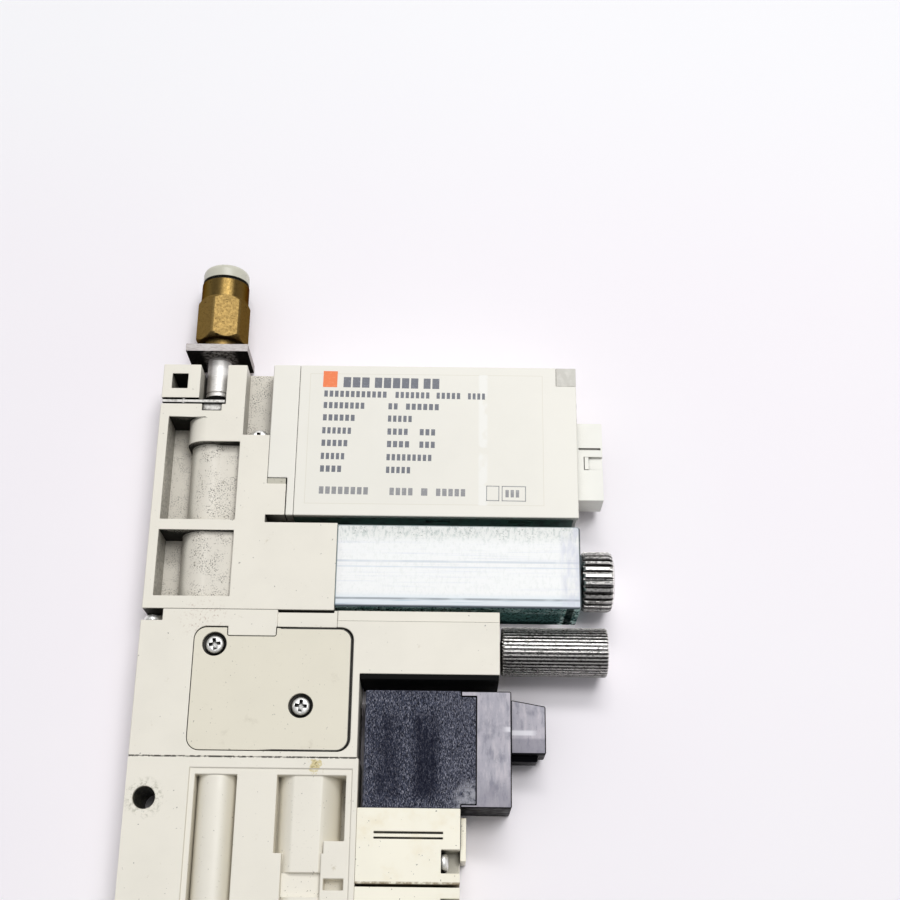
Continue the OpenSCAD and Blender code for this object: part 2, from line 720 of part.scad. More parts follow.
foot_z = body_t - 3;
switch_y1 = y_switch + switch_h;
window_z = body_t - 2.2;
base_t = 0.8;
base_slot_x = 21.3;
base_slot_pitch = 13.3;
base_slot_l = 3.9;
base_slot_depth = 0.6;
socket_y = y_switch + 3.8;
socket_z = [2.1, 2.1 + socket_depth];
set_y = [socket_y + socket_h + 1.3, socket_y + socket_h + 4];
latch_x = 1.2;
latch_up = 5.3;
latch_h = 2.3;
latch_y = [socket_y + latch_up, socket_y + latch_up + latch_h];
latch_depth = 0.5;
button_travel = 0.3;
button_out = 0.4;
pin_pitch = 2;

module switch_bracket() {
    color(cream_color) difference() {
        block([x_ledge, y_switch, 0], [x_bracket, switch_y1, body_t]);
        block([x_ledge - eps, y_switch - eps, -eps], [x_ledge + hook_w, hook_y1, body_t + eps]);
        // gap over the hook, and clearance beside it
        block([x_ledge - eps, y_switch - eps, foot_z], [x_ledge + hook_w + 0.1, hook_y1 + 1, body_t + eps]);
    }
}

module switch_case() {
    color(cream_color) difference() {
        union() {
            block([x_bracket, y_switch + base_t, 0.3], [x_switch, switch_y1, body_t]);
            block([x_bracket, y_switch, body_t - 1.2], [x_switch, y_switch + base_t + eps, body_t]);
        }
        // corner that the window fills
        block([x_switch - window_w, switch_y1 - window_w, window_z],
            [x_switch + eps, switch_y1 + eps, body_t + eps]);
        // seats of the two setting buttons
        for (y = set_y) along_x([x_switch - 2, y, z_mid])
            cylinder(d = set_button_d + 2 * fit, h = 2 + eps);
        // seats of the contact pins
        for (i = [-2 : 2]) along_x([x_switch - 2, socket_y + socket_h / 2 + i * pin_pitch, 4.6])
            translate([-0.35, -0.35, 0]) cube([0.7, 0.7, 2 + eps]);
    }
}

// Dark board edge and seal along the underside, with short slots
module switch_base() {
    color("#22362f") difference() {
        block([x_bracket, y_switch, 0.3], [x_switch - 0.8, y_switch + base_t, body_t - 1.2]);
        for (i = [0 : 1]) translate([x_bracket + base_slot_x + base_slot_pitch * i, y_switch, 0])
            block([0, -eps, body_t - 2.9], [base_slot_l, base_slot_depth, body_t - 2]);
    }
}

module switch_window() {
    color([0.8, 0.84, 0.84, 0.6])
        block([x_switch - window_w, switch_y1 - window_w, window_z], [x_switch, switch_y1, body_t - 0.15]);
}

// Plug socket: an open box with a divided front wall and a latch window
module switch_socket() {
    wall = 0.8;
    y1 = socket_y + socket_h;
    color("#f4f2e8") difference() {
        block([x_switch, socket_y, socket_z[0]], [x_switch + socket_reach, y1, socket_z[1]]);
        block([x_switch + 0.8, socket_y + wall, socket_z[0] + wall],
            [x_switch + socket_reach + eps, y1 - wall, socket_z[1] - wall]);
        block([x_switch - eps, socket_y + wall, socket_z[0] + wall],
            [x_switch + 1, y1 - wall, socket_z[1] - wall]);
        block([x_switch + 0.4, y1 - 4.7, socket_z[1] - 0.4],
            [x_switch + socket_reach - 0.3, y1 - 4.35, socket_z[1] + eps]);
        difference() {
            block([x_switch + latch_x, latch_y[0], socket_z[1] - latch_depth],
                [x_switch + socket_reach + eps, latch_y[1], socket_z[1] + eps]);
            block([x_switch + latch_x + 0.15, latch_y[0] + 0.15, socket_z[1] - latch_depth - eps],
                [x_switch + latch_x + 0.8, latch_y[1] + eps, socket_z[1] - 0.1]);
        }
    }
}

module switch_pins() {
    color(steel_color) for (i = [-2 : 2])
        along_x([x_switch - 1.8, socket_y + socket_h / 2 + i * pin_pitch, 4.6])
            translate([-0.3, -0.3, 0]) cube([0.6, 0.6, 1.8 + socket_reach - 1]);
}

module set_button(y) {
    color("#8f9496") along_x([x_switch - 1.5, y, z_mid]) cylinder(d = set_button_d, h = 1.5 + button_out);
}

// ---------- filter ----------

gasket_t = 0.8;
knob_gap = 0.45;
case_r = 0.5;
filter_knurl = 0.5;
filter_ridges = 26;
element_x0 = x_rail + 1.2;
element_x1 = x_case - case_end - 0.9;
element_t = body_t - 2 * case_wall - 1;

module filter_case() {
    r = case_r;
    color([0.75, 0.88, 0.88, 0.35]) difference() {
        union() {
            block([x_rail, case_y0, 0], [x_case - r, case_y1, body_t]);
            block([x_rail, case_y0 + r, 0], [x_case, case_y1 - r, body_t]);
            for (y = [case_y0 + r, case_y1 - r]) translate([x_case - r, y, 0]) cylinder(r = r, h = body_t);
        }
        block([x_rail - eps, case_y0 + case_wall, case_wall],
            [x_case - case_end, case_y1 - case_wall, body_t - case_wall]);
        along_x([x_case - case_end - eps, rod_y, z_mid])
            cylinder(d = filter_rod_d + 2 * fit, h = case_end + 2 * eps);
    }
}

module filter_gasket() {
    color("#22262a") difference() {
        block([x_rail, case_y0 + case_wall, case_wall],
            [x_rail + gasket_t, case_y1 - case_wall, body_t - case_wall]);
        block([x_rail - eps, case_y0 + case_wall + 0.7, case_wall + 0.7],
            [x_rail + gasket_t + eps, case_y1 - case_wall - 0.7, body_t - case_wall - 0.7]);
    }
}

// Filter element: a ribbed sleeve of sintered plastic round the knob's rod
module filter_element() {
    l = element_x1 - element_x0;
    rib = 0.25;
    ribs = 6;
    color("#f7f7f4") along_x([element_x0, rod_y, z_mid]) difference() {
        union() {
            linear_extrude(l)
                rounded([-element_t / 2 + rib, -element_h / 2], [element_t / 2 - rib, element_h / 2], 2.4);
            for (i = [0 : ribs - 1]) translate([-element_t / 2, (i - (ribs - 1) / 2) * 0.75 - 0.2, 0])
                cube([element_t, 0.4, l]);
        }
        translate([0, 0, -eps]) cylinder(d = filter_rod_d + 1.4, h = l - 1.2);
        translate([0, 0, -eps]) cylinder(d = filter_rod_d + 2 * fit, h = l + 2 * eps);
    }
}

module filter_knob() {
    color("#a9a49c") {
        along_x([x_case + knob_gap, rod_y, z_mid])
            knurled_barrel(filter_knob_d, filter_knob_l, filter_knurl, filter_ridges, 0.4, 0.9);
        along_x([x_rail - 5.5, rod_y, z_mid])
            cylinder(d = filter_rod_d, h = x_case + knob_gap - x_rail + 5.5 + 0.2);
        along_x([x_case + 0.15, rod_y, z_mid]) cylinder(d = 5, h = knob_gap);
    }
}

// ---------- flow needle ----------

module flow_needle() {
    color("#a09b94") {
        along_x([x_arm + 0.35, needle_y, z_mid])
            knurled_barrel(needle_knob_d, needle_knob_l, needle_knurl, needle_ridges, 0.3, 0.4);
        along_x([x_arm - needle_l + 0.5, needle_y, z_mid]) rotate_extrude() polygon([
            [0, 0], [0.3, 0], [needle_d / 2 - 0.2, 3], [needle_d / 2, 3.2],
            [needle_d / 2, needle_l + 0.2], [0, needle_l + 0.2]]);
    }
}

// ---------- pilot valves ----------

x_valve = x_body + valve_w;
screw_notch = [2.8, 3.35];
screw_off = pair_gap / 2 + 3.25;
screw_z = body_t - 2.4;
valve_screw_d = 1.6;
valve_head_d = 3;
valve_head_h = 1.1;
valve_thread_l = 4.5;
end_t = 0.9;
end_y = [valve_top - 7.4, valve_top - 1.1];
end_z = 7.9;
override_y = (end_y[0] + end_y[1]) / 2;
override_z = end_z / 2;
override_travel = 0.6;
x_coil = x_body + coil_gap;
coil_x1 = x_coil + coil_w;
coil_y1 = valve_top + coil_h;
coil_z = [0.1, body_t - 0.1];
pad_t = 0.8;
lug_w = 2.3;
cap_y0 = valve_top + 0.1;
cap_lugs = [[cap_y0, valve_top + 0.65], [coil_y1 - 0.9, coil_y1]];
x_cap = coil_x1 + cap_w;

// Body of one pilot valve, drawn for the upper place
module valve() {
    y0 = valve_top - valve_h;
    notch_y1 = y_pair + screw_off + screw_notch[1] / 2;
    color(valve_color) difference() {
        block([x_body, y0, 0], [x_valve, valve_top, body_t]);
        // two grooves with a bar between them
        for (g = [[3.4, 0.3], [4.2, 0.25]])
            block([x_body + 2.55, valve_top - g[0] - g[1], body_t - 0.8],
                [x_valve - 2.55, valve_top - g[0], body_t + eps]);
        // open notch for the screw's head and the driver
        block([x_valve - screw_notch[0], notch_y1 - screw_notch[1], screw_z - 1.9],
            [x_valve + eps, notch_y1, body_t + eps]);
        along_x([x_body - eps, y_pair + screw_off, screw_z])
            cylinder(d = valve_screw_d + 2 * fit, h = valve_w);
        // plunger bore of the manual override
        along_x([x_valve - 4, override_y, override_z]) cylinder(d = override_d + 2 * fit, h = 4 + eps);
    }
}

module valve_screw() {
    head_x = x_valve - screw_notch[0];
    color(steel_color) along_x([head_x, y_pair + screw_off, screw_z])
        pan_screw(valve_head_d, valve_head_h, valve_screw_d, head_x - x_body + valve_thread_l - 0.3);
}

module end_plate() {
    color(valve_color) difference() {
        block([x_valve, end_y[0], 0.2], [x_valve + end_t, end_y[1], end_z]);
        along_x([x_valve - eps, override_y, override_z])
            cylinder(d = override_d + 2 * fit, h = end_t + 2 * eps);
    }
}

module override_button() {
    color("#c77f2e") along_x([x_valve - 4 + override_travel + 0.2, override_y, override_z]) difference() {
        cylinder(d = override_d, h = 4 - override_travel - 0.2 + end_t);
        translate([-override_d * 0.35, -0.2, 4 - override_travel - 0.2 + end_t - 0.4])
            cube([override_d * 0.7, 0.4, 1]);
    }
}

// Soft dark pad under the arm, over the upper coil
module coil_pad() {
    color("#202022")
        block([x_mid + 0.2, arm_y0 - pad_t, 0.2], [x_arm - 0.15, arm_y0, body_t - 0.1]);
}

// Solenoid coil with its corners cut for the cap's lugs
module coil() {
    color(coil_color) difference() {
        block([x_coil, valve_top, coil_z[0]], [coil_x1, coil_y1, coil_z[1]]);
        block([coil_x1 - lug_w, valve_top - eps, -eps], [coil_x1 + eps, cap_lugs[0][1], body_t + eps]);
        block([coil_x1 - lug_w, cap_lugs[1][0], -eps], [coil_x1 + eps, coil_y1 + eps, body_t + eps]);
    }
}

// End cap that clips over the coil with a lug at each corner
module coil_cap() {
    color(cap_color) {
        linear_extrude(body_t) polygon([[coil_x1, cap_y0], [x_cap, cap_y0], [x_cap, coil_y1], [coil_x1, coil_y1]]);
        for (lug = cap_lugs)
            block([coil_x1 - lug_w, lug[0], coil_z[0]], [coil_x1 + 0.2, lug[1], body_t]);
    }
}

plug_up = 8.6;
plug_h = 8.3;
plug_y = [valve_top + plug_up, valve_top + plug_up + plug_h];
plug_z = [1.4, 7];
plug_wall = 0.8;
plug_pitch = 2.5;
plug_latch_t = 0.9;
plug_latch_z = 5.2;
plug_latch_gap = 1.2;

// Plug socket of the coil: open at its end, with a sloping upper side and a latch block below
module plug_socket() {
    wall = plug_wall;
    slope = 0.95;
    color(cap_color) difference() {
        union() {
            translate([0, 0, plug_z[0]]) linear_extrude(plug_z[1] - plug_z[0]) polygon([
                [x_cap, plug_y[0]], [x_cap + plug_reach, plug_y[0]],
                [x_cap + plug_reach, plug_y[1] - slope], [x_cap, plug_y[1]]]);
            block([x_cap, plug_y[0] - plug_latch_t, plug_z[0]],
                [x_cap + plug_reach - plug_latch_gap, plug_y[0] + eps, plug_latch_z]);
        }
        block([x_cap + wall, plug_y[0] + wall, plug_z[0] + wall],
            [x_cap + plug_reach + eps, plug_y[1] - slope - wall, plug_z[1] - wall]);
    }
}

module plug_pins() {
    mid_y = (plug_y[0] + plug_y[1]) / 2 - 0.4;
    mid_z = (plug_z[0] + plug_z[1]) / 2;
    pin_r = 0.3;
    color(steel_color) for (y = [mid_y - plug_pitch / 2, mid_y + plug_pitch / 2])
        block([x_cap + plug_wall, y - pin_r, mid_z - pin_r],
            [x_cap + plug_reach - 1, y + pin_r, mid_z + pin_r]);
}

upper_body();
mid_body();
lower_body();
cover_plate();
cover_screws();
tie_screw();
ledge_screw();
port_adapter();
stem_seal();
retaining_clip();
fitting_body();
fitting_seal();
fitting_chuck();
release_collar();
switch_bracket();
switch_case();
switch_base();
switch_window();
switch_socket();
switch_pins();
set_button(set_y[1]);  // set_button_upper
set_button(set_y[0]);  // set_button_lower
filter_case();
filter_gasket();
filter_element();
filter_knob();
flow_needle();
valve();  // valve_upper
lower_side() valve();  // valve_lower
valve_screw();  // valve_screw_upper
lower_side() valve_screw();  // valve_screw_lower
end_plate();  // end_plate_upper
lower_side() end_plate();  // end_plate_lower
override_button();  // override_upper
lower_side() override_button();  // override_lower
coil_pad();
coil();  // coil_upper
lower_side() coil();  // coil_lower
coil_cap();  // coil_cap_upper
lower_side() coil_cap();  // coil_cap_lower
plug_socket();  // plug_socket_upper
lower_side() plug_socket();  // plug_socket_lower
plug_pins();  // plug_pins_upper
lower_side() plug_pins();  // plug_pins_lower
ejector_nozzle();
ejector_diffuser();
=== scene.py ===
"""Looks of the vacuum ejector unit: camera, light, materials, rounded edges and print, round its frame."""

import json
import math

import bmesh
import bpy
from mathutils import Matrix, Vector


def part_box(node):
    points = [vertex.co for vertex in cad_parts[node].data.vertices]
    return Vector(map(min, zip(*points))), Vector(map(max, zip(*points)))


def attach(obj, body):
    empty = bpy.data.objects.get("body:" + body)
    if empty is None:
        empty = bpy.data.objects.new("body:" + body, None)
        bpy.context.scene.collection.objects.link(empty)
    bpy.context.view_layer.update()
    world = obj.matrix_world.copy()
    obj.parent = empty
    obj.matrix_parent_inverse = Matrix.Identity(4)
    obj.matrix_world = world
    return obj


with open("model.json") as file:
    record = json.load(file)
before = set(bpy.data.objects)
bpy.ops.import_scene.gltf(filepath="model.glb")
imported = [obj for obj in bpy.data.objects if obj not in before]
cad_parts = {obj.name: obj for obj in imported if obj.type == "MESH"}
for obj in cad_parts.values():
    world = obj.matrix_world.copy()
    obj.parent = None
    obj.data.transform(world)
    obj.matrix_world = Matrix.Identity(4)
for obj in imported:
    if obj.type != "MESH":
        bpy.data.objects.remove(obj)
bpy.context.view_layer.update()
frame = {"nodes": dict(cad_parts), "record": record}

MM = 0.001
nodes = frame["nodes"]
scene = bpy.context.scene


def corners(node):
    """The lowest and the highest corner of a node's box, in millimetres."""
    return [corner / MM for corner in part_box(node)]


body_t = corners("lower_body")[1].z  # the unit's thickness, where its front face lies


# ---------- camera, light and room ----------

CAMERA_AT = (45.18, -28.08, 224.9)  # millimetres in the part's frame
CAMERA_TURN = (21.364, -0.192, 0.643)  # degrees: tilt towards the lower end, yaw and roll
CAMERA_CLIP = (0.01, 50)
LENS = 56.61
SENSOR = 36.0
STRIP_FROM = (0.2, 0.66, 1.0)  # direction of the long soft box over the upper end
STRIP_AIM = (30, 25, 0)
STRIP_AWAY = 1500
STRIP_SIZE = (1000, 240)
STRIP_POWER = 8.1
TOP_FROM = (0.3, 0.22, 1.0)  # direction of the light straight above
TOP_SPREAD = 20  # degrees across
TOP_STRENGTH = 0.93
ROOM_TINT = (0.97, 0.98, 1.0, 1)
ZENITH, HORIZON = 0.47, 0.14
ROOM_FROM, ROOM_TO = 0.05, 0.95  # how far up a direction points, from 0 to 1, at the horizon and overhead
BACKDROP = 0.85
BACKDROP_FROM, BACKDROP_TO = 0.3, 0.5  # how far up the pale backdrop starts to fade and ends


def make_camera():
    data = bpy.data.cameras.new("camera")
    data.lens, data.sensor_width = LENS, SENSOR
    data.clip_start, data.clip_end = CAMERA_CLIP
    camera = bpy.data.objects.new("camera", data)
    camera.location = Vector(CAMERA_AT) * MM
    camera.rotation_euler = [math.radians(a) for a in CAMERA_TURN]
    scene.collection.objects.link(camera)
    scene.camera = camera


def aim(data, towards):
    light = bpy.data.objects.new(data.name, data)
    light.rotation_mode = "QUATERNION"
    light.rotation_quaternion = Vector(towards).to_track_quat("Z", "Y")
    scene.collection.objects.link(light)
    return light


def make_lights():
    strip = bpy.data.lights.new("strip", "AREA")
    strip.shape = "RECTANGLE"
    strip.size, strip.size_y = (side * MM for side in STRIP_SIZE)
    strip.energy = STRIP_POWER
    away = Vector(STRIP_FROM).normalized() * STRIP_AWAY
    aim(strip, STRIP_FROM).location = (Vector(STRIP_AIM) + away) * MM
    top = bpy.data.lights.new("top", "SUN")
    top.energy, top.angle = TOP_STRENGTH, math.radians(TOP_SPREAD)
    aim(top, TOP_FROM)


def make_world():
    """A soft room: brighter overhead, dimmer towards the horizon, where a pale backdrop shows."""
    world = bpy.data.worlds.new("room")
    world.use_nodes = True
    scene.world = world
    tree = world.node_tree
    up = split(tree, tree.nodes.new("ShaderNodeTexCoord").outputs["Generated"])["Z"]
    rays = tree.nodes.new("ShaderNodeLightPath").outputs
    seen = calculate(tree, "MAXIMUM", rays["Is Camera Ray"], rays["Is Glossy Ray"])
    seen = calculate(tree, "MAXIMUM", seen, rays["Is Transmission Ray"])
    pale = ramp(tree, up, BACKDROP_FROM, BACKDROP_TO, BACKDROP, 0.0)
    backdrop = calculate(tree, "MULTIPLY", seen, pale)
    room = ramp(tree, up, ROOM_FROM, ROOM_TO, HORIZON, ZENITH)
    background = tree.nodes["Background"]
    background.inputs["Color"].default_value = ROOM_TINT
    tree.links.new(calculate(tree, "MAXIMUM", room, backdrop), background.inputs["Strength"])


# ---------- shader building ----------


def feed(tree, target, value):
    """Give a socket a number, or the output of another node."""
    if isinstance(value, (int, float)):
        target.default_value = value
    else:
        tree.links.new(value, target)


def calculate(tree, operation, a, b=0.0, clamp=False):
    made = tree.nodes.new("ShaderNodeMath")
    made.operation, made.use_clamp = operation, clamp
    feed(tree, made.inputs[0], a)
    feed(tree, made.inputs[1], b)
    return made.outputs[0]


def ramp(tree, value, low, high, at_low=0.0, at_high=1.0):
    """Map low..high to at_low..at_high, eased and clamped."""
    made = tree.nodes.new("ShaderNodeMapRange")
    made.interpolation_type = "SMOOTHSTEP"
    numbers = {"From Min": low, "From Max": high, "To Min": at_low, "To Max": at_high}
    for socket, number in numbers.items():
        made.inputs[socket].default_value = number
    tree.links.new(value, made.inputs["Value"])
    return made.outputs[0]


def split(tree, vector):
    """The parts of a vector, by the names X, Y and Z."""
    parts = tree.nodes.new("ShaderNodeSeparateXYZ")
    tree.links.new(vector, parts.inputs[0])
    return parts.outputs


def look(*color):
    """A colour as it looks on a screen, red, green and blue from 0 to 255, as linear light."""
    return tuple(((c / 255 + 0.055) / 1.055) ** 2.4 if c > 10 else c / 255 / 12.92 for c in color)


def beside(place, offsets):
    """Places given by their distance from another one."""
    return [place + offset for offset in offsets]


def darker(color, share):
    return tuple(c * share for c in color)


MIX_FACTOR, MIX_UNDER, MIX_OVER, MIX_RESULT = 0, 6, 7, 2  # sockets of a mix of two colours
CREVICE_SAMPLES = 6
RIM_SOFT = 0.04


class Finish:
    """A Principled material whose colour, roughness and relief are laid on in layers.

    A mask is the output of a node that is 1 where a layer shows and 0 where it doesn't.
    Lengths and places are in millimetres."""

    def __init__(self, name, color, roughness, metallic=0.0, ior=1.46):
        self.material = bpy.data.materials.new(name)
        self.material.use_nodes = True
        self.tree = self.material.node_tree
        self.shader = self.tree.nodes["Principled BSDF"]
        self.base = (*color, 1)
        self.color, self.height = None, None
        self.set("Base Color", self.base)
        self.set("Roughness", roughness)
        self.set("Metallic", metallic)
        self.set("IOR", ior)
        scaled = self.node("ShaderNodeVectorMath", operation="SCALE")
        scaled.inputs["Scale"].default_value = 1 / MM
        self.link(self.node("ShaderNodeTexCoord").outputs["Object"], scaled.inputs[0])
        self.place = scaled.outputs[0]  # fixed to the piece
        self.axis = split(self.tree, self.place)

    def node(self, kind, **settings):
        made = self.tree.nodes.new(kind)
        for key, value in settings.items():
            setattr(made, key, value)
        return made

    def link(self, source, target):
        self.tree.links.new(source, target)

    def set(self, socket, value):
        self.shader.inputs[socket].default_value = value

    def math(self, operation, a, b=0.0, clamp=False):
        return calculate(self.tree, operation, a, b, clamp)

    def inverse(self, mask, clamp=False):
        return self.math("SUBTRACT", 1.0, mask, clamp)

    def overlap(self, *masks):
        """1 where all the masks are 1."""
        result = masks[0]
        for mask in masks[1:]:
            result = self.math("MULTIPLY", result, mask)
        return result

    def length(self, across, along):
        squares = [self.math("MULTIPLY", side, side) for side in (across, along)]
        return self.math("SQRT", self.math("ADD", *squares))

    def span(self, value, low, high, at_low=0.0, at_high=1.0):
        return ramp(self.tree, value, low, high, at_low, at_high)

    def noise(self, size, detail=3.0, rough=0.55, stretch=(1, 1, 1), shift=0.0):
        """Cloudy noise with features about size across."""
        squeeze = self.node("ShaderNodeMapping")
        squeeze.inputs["Location"].default_value = (shift, shift * 1.7, shift * 0.6)
        squeeze.inputs["Scale"].default_value = [1 / s for s in stretch]
        self.link(self.place, squeeze.inputs["Vector"])
        made = self.node("ShaderNodeTexNoise")
        made.inputs["Scale"].default_value = 1 / size
        made.inputs["Detail"].default_value = detail
        made.inputs["Roughness"].default_value = rough
        self.link(squeeze.outputs[0], made.inputs["Vector"])
        return made.outputs["Fac"]

    def patches(self, size, low, high, at_low=0.0, at_high=1.0, **kind):
        """Cloudy noise, with what is under low and over high evened out."""
        return self.span(self.noise(size, **kind), low, high, at_low, at_high)

    def after(self, axis, start, full, least=0.0):
        """least up to start along an axis, rising to 1 at full."""
        return self.span(self.axis[axis], start, full, least, 1.0)

    def before(self, axis, full, end, least=0.0):
        """1 up to full along an axis, falling to least at end."""
        return self.span(self.axis[axis], full, end, 1.0, least)

    def band(self, axis, low, high, soft):
        """1 between two places along an axis, fading over soft outside them."""
        return self.overlap(self.after(axis, low - soft, low), self.before(axis, high, high + soft))

    def spot(self, x, y, radius, soft, ragged=0.0):
        """1 within radius of a point on the front, fading over soft, with a ragged rim."""
        away = self.length(self.math("SUBTRACT", self.axis["X"], x), self.math("SUBTRACT", self.axis["Y"], y))
        if ragged:
            wobble = self.math("SUBTRACT", self.noise(0.9, 4, 0.7, shift=x), 0.5)
            away = self.math("ADD", away, self.math("MULTIPLY", wobble, ragged))
        return self.span(away, radius, radius + soft, 1.0, 0.0)

    def rim(self, low, high, radius, depth):
        """1 within depth of the edge of a rounded rectangle on the front."""
        apart = []
        for axis, start, end in (("X", low.x, high.x), ("Y", low.y, high.y)):
            from_middle = self.math("ABSOLUTE", self.math("SUBTRACT", self.axis[axis], (start + end) / 2))
            beyond = self.math("SUBTRACT", from_middle, (end - start) / 2 - radius)
            apart.append(self.math("MAXIMUM", beyond, 0.0))
        return self.span(self.length(*apart), radius - depth - RIM_SOFT, radius - depth)

    def facing(self, axis, low, high, sign=1):
        """1 on faces turned along an axis, or against it where sign is -1."""
        normal = split(self.tree, self.node("ShaderNodeNewGeometry").outputs["Normal"])
        return self.span(self.math("MULTIPLY", normal[axis], sign), low, high)

    def upward(self, low=0.75, high=0.95):
        """1 on faces that look up from the floor."""
        return self.facing("Z", low, high)

    def crevice(self, reach, open_at, shut_at):
        """1 deep in corners, holes and gaps narrower than about reach."""
        made = self.node("ShaderNodeAmbientOcclusion", samples=CREVICE_SAMPLES)
        made.inputs["Distance"].default_value = reach * MM
        return self.span(made.outputs["AO"], shut_at, open_at, 1.0, 0.0)

    def tint(self, color, amount, *masks):
        """Lay a colour over what is there, as strongly as amount, where all the masks are 1."""
        mix = self.node("ShaderNodeMix", data_type="RGBA")
        self.link(self.math("MULTIPLY", self.overlap(*masks), amount), mix.inputs[MIX_FACTOR])
        if self.color is None:
            mix.inputs[MIX_UNDER].default_value = self.base
        else:
            self.link(self.color, mix.inputs[MIX_UNDER])
        mix.inputs[MIX_OVER].default_value = (*color, 1)
        self.color = mix.outputs[MIX_RESULT]

    def rough(self, value):
        self.link(value, self.shader.inputs["Roughness"])

    def gloss(self, mask, outside, inside):
        """Set how strongly the surface mirrors outside a mask and inside it."""
        self.link(self.span(mask, 0.0, 1.0, outside, inside), self.shader.inputs["Specular IOR Level"])

    def relief(self, height, depth):
        """Raise the surface by depth where height is 1."""
        bump = self.node("ShaderNodeBump")
        bump.inputs["Strength"].default_value = 1.0
        bump.inputs["Distance"].default_value = depth * MM
        self.link(height, bump.inputs["Height"])
        if self.height is not None:
            self.link(self.height, bump.inputs["Normal"])
        self.height = bump.outputs[0]

    def done(self):
        if self.color is not None:
            self.link(self.color, self.shader.inputs["Base Color"])
        if self.height is not None:
            self.link(self.height, self.shader.inputs["Normal"])
        return self.material


# ---------- plastics ----------

# Colour of dirt specks, and of painted shade in crevices and pockets
DIRT_AND_SHADE = look(52, 47, 38)
GRIME = look(120, 112, 94)
# Near-black painted shade in narrow gaps, creases and holes
CREVICE_SHADE = look(30, 28, 24)
# Crevices: reach, and how open they are where the dirt and painted shade start and where they are full
POCKET = (6.0, 0.7, 0.3)
GAP = (0.9, 0.72, 0.3)
DEEP = (8.0, 0.9, 0.4)
UNDERSIDE = ("Y", 0.5, 0.8, -1)  # faces that look towards the lower end


def moulded(name, color, roughness=0.42, mottle=0.5, pocket_dirt_and_shade=0.8, gap_shade=0.85):
    """Moulded plastic: faint clouds of colour, a fine grain and handling marks."""
    f = Finish(name, color, roughness)
    f.tint(darker(color, 0.93), mottle, f.patches(7.0, 0.35, 0.75, detail=4))
    f.rough(f.patches(3.0, 0.3, 0.7, roughness - 0.06, roughness + 0.08, shift=5))
    f.relief(f.noise(0.12, 2), 0.004)
    # Dirt and painted shade deep in pockets, and painted shade in narrow gaps
    if pocket_dirt_and_shade:
        f.tint(DIRT_AND_SHADE, pocket_dirt_and_shade, f.crevice(*POCKET))
    if gap_shade:
        f.tint(CREVICE_SHADE, gap_shade, f.crevice(*GAP))
    return f


def specks(f, size, share, shift=0.0):
    """Small dots: share is how far the noise has to rise, from 0 to 1."""
    return f.patches(size, share, share + 0.05, detail=1.5, rough=0.6, shift=shift)


LEFT_WALL = (2.0, 3.0)  # X between which a face stops counting as the pockets' left wall
BLACK_FADES = (15.0, 19.0)  # X between which the painted black shade of the undersides weakens to half
GRIT_GROWS = (-1.0, 8.0)  # X between which the grit gets denser
RUST_AT = (7.0, -1.6)  # Y from the foot of the upper body
GLUE_AT = (25.4, -1.1)  # Y from the seam under the middle body
CRUST_AT = (25.3, -1.0)
HOLE_RIM = 1.9  # radius just past the edge of the mounting hole, which lies at the origin
SEAM_SPARED = (-1.4, -0.9)  # from the seam; below it the gaps hold only a quarter of the painted shade
FADE = 1.0  # over which one body's finish gives way to the next one's


def soil_and_shade_pockets(f, upper):
    """Dirt and painted shade deep in the upper body's pockets, painted black shade on their undersides,
    painted shade on their left walls and sunk floors, grit there, and paler dirt specks on every sunk place.
    """
    # Dirt and painted shade deep in the pockets
    deep = f.crevice(*DEEP)
    f.tint(DIRT_AND_SHADE, 0.5, f.span(deep, 0.35, 1.0), upper)
    # Painted black shade on the pockets' undersides
    black = f.overlap(f.facing(*UNDERSIDE), f.span(deep, 0.05, 0.35), f.before("X", *BLACK_FADES, 0.5), upper)
    f.tint(look(10, 9, 7), 0.98, black)
    f.gloss(black, 0.5, 0.04)
    # Painted shade, broken up by grit, on the pockets' left walls
    grains = f.patches(0.5, 0.48, 0.56, detail=4, rough=0.8, shift=71)
    left_wall = f.overlap(f.facing("X", 0.7, 0.9), f.before("X", *LEFT_WALL), upper)
    f.tint(DIRT_AND_SHADE, 0.45, left_wall, f.span(deep, 0.1, 0.4), grains)
    # Painted shade on the sunk floors
    sunk = f.overlap(f.before("Z", body_t - 1.0, body_t - 0.4), f.upward())
    f.tint(look(222, 216, 204), 0.7, sunk, upper)
    gritty = f.overlap(f.patches(2.5, 0.4, 0.6, detail=2, shift=6), f.after("X", *GRIT_GROWS, 0.75), upper)
    f.tint(DIRT_AND_SHADE, 0.9, specks(f, 0.2, 0.56), sunk, gritty)
    f.tint(GRIME, 0.6, specks(f, 0.4, 0.66, shift=3), sunk)


def smear_front(f, foot):
    """A few dots and brown smears."""
    f.tint(DIRT_AND_SHADE, 0.6, specks(f, 0.5, 0.735, shift=9))
    f.tint(look(190, 178, 150), 0.5, f.patches(2.2, 0.66, 0.78, detail=4, rough=0.7, shift=14))
    rust = f.patches(0.4, 0.54, 0.7, rough=0.7, shift=31)
    f.tint(look(170, 138, 118), 0.6, f.spot(RUST_AT[0], foot + RUST_AT[1], 1.6, 3.0, 3.0), rust)


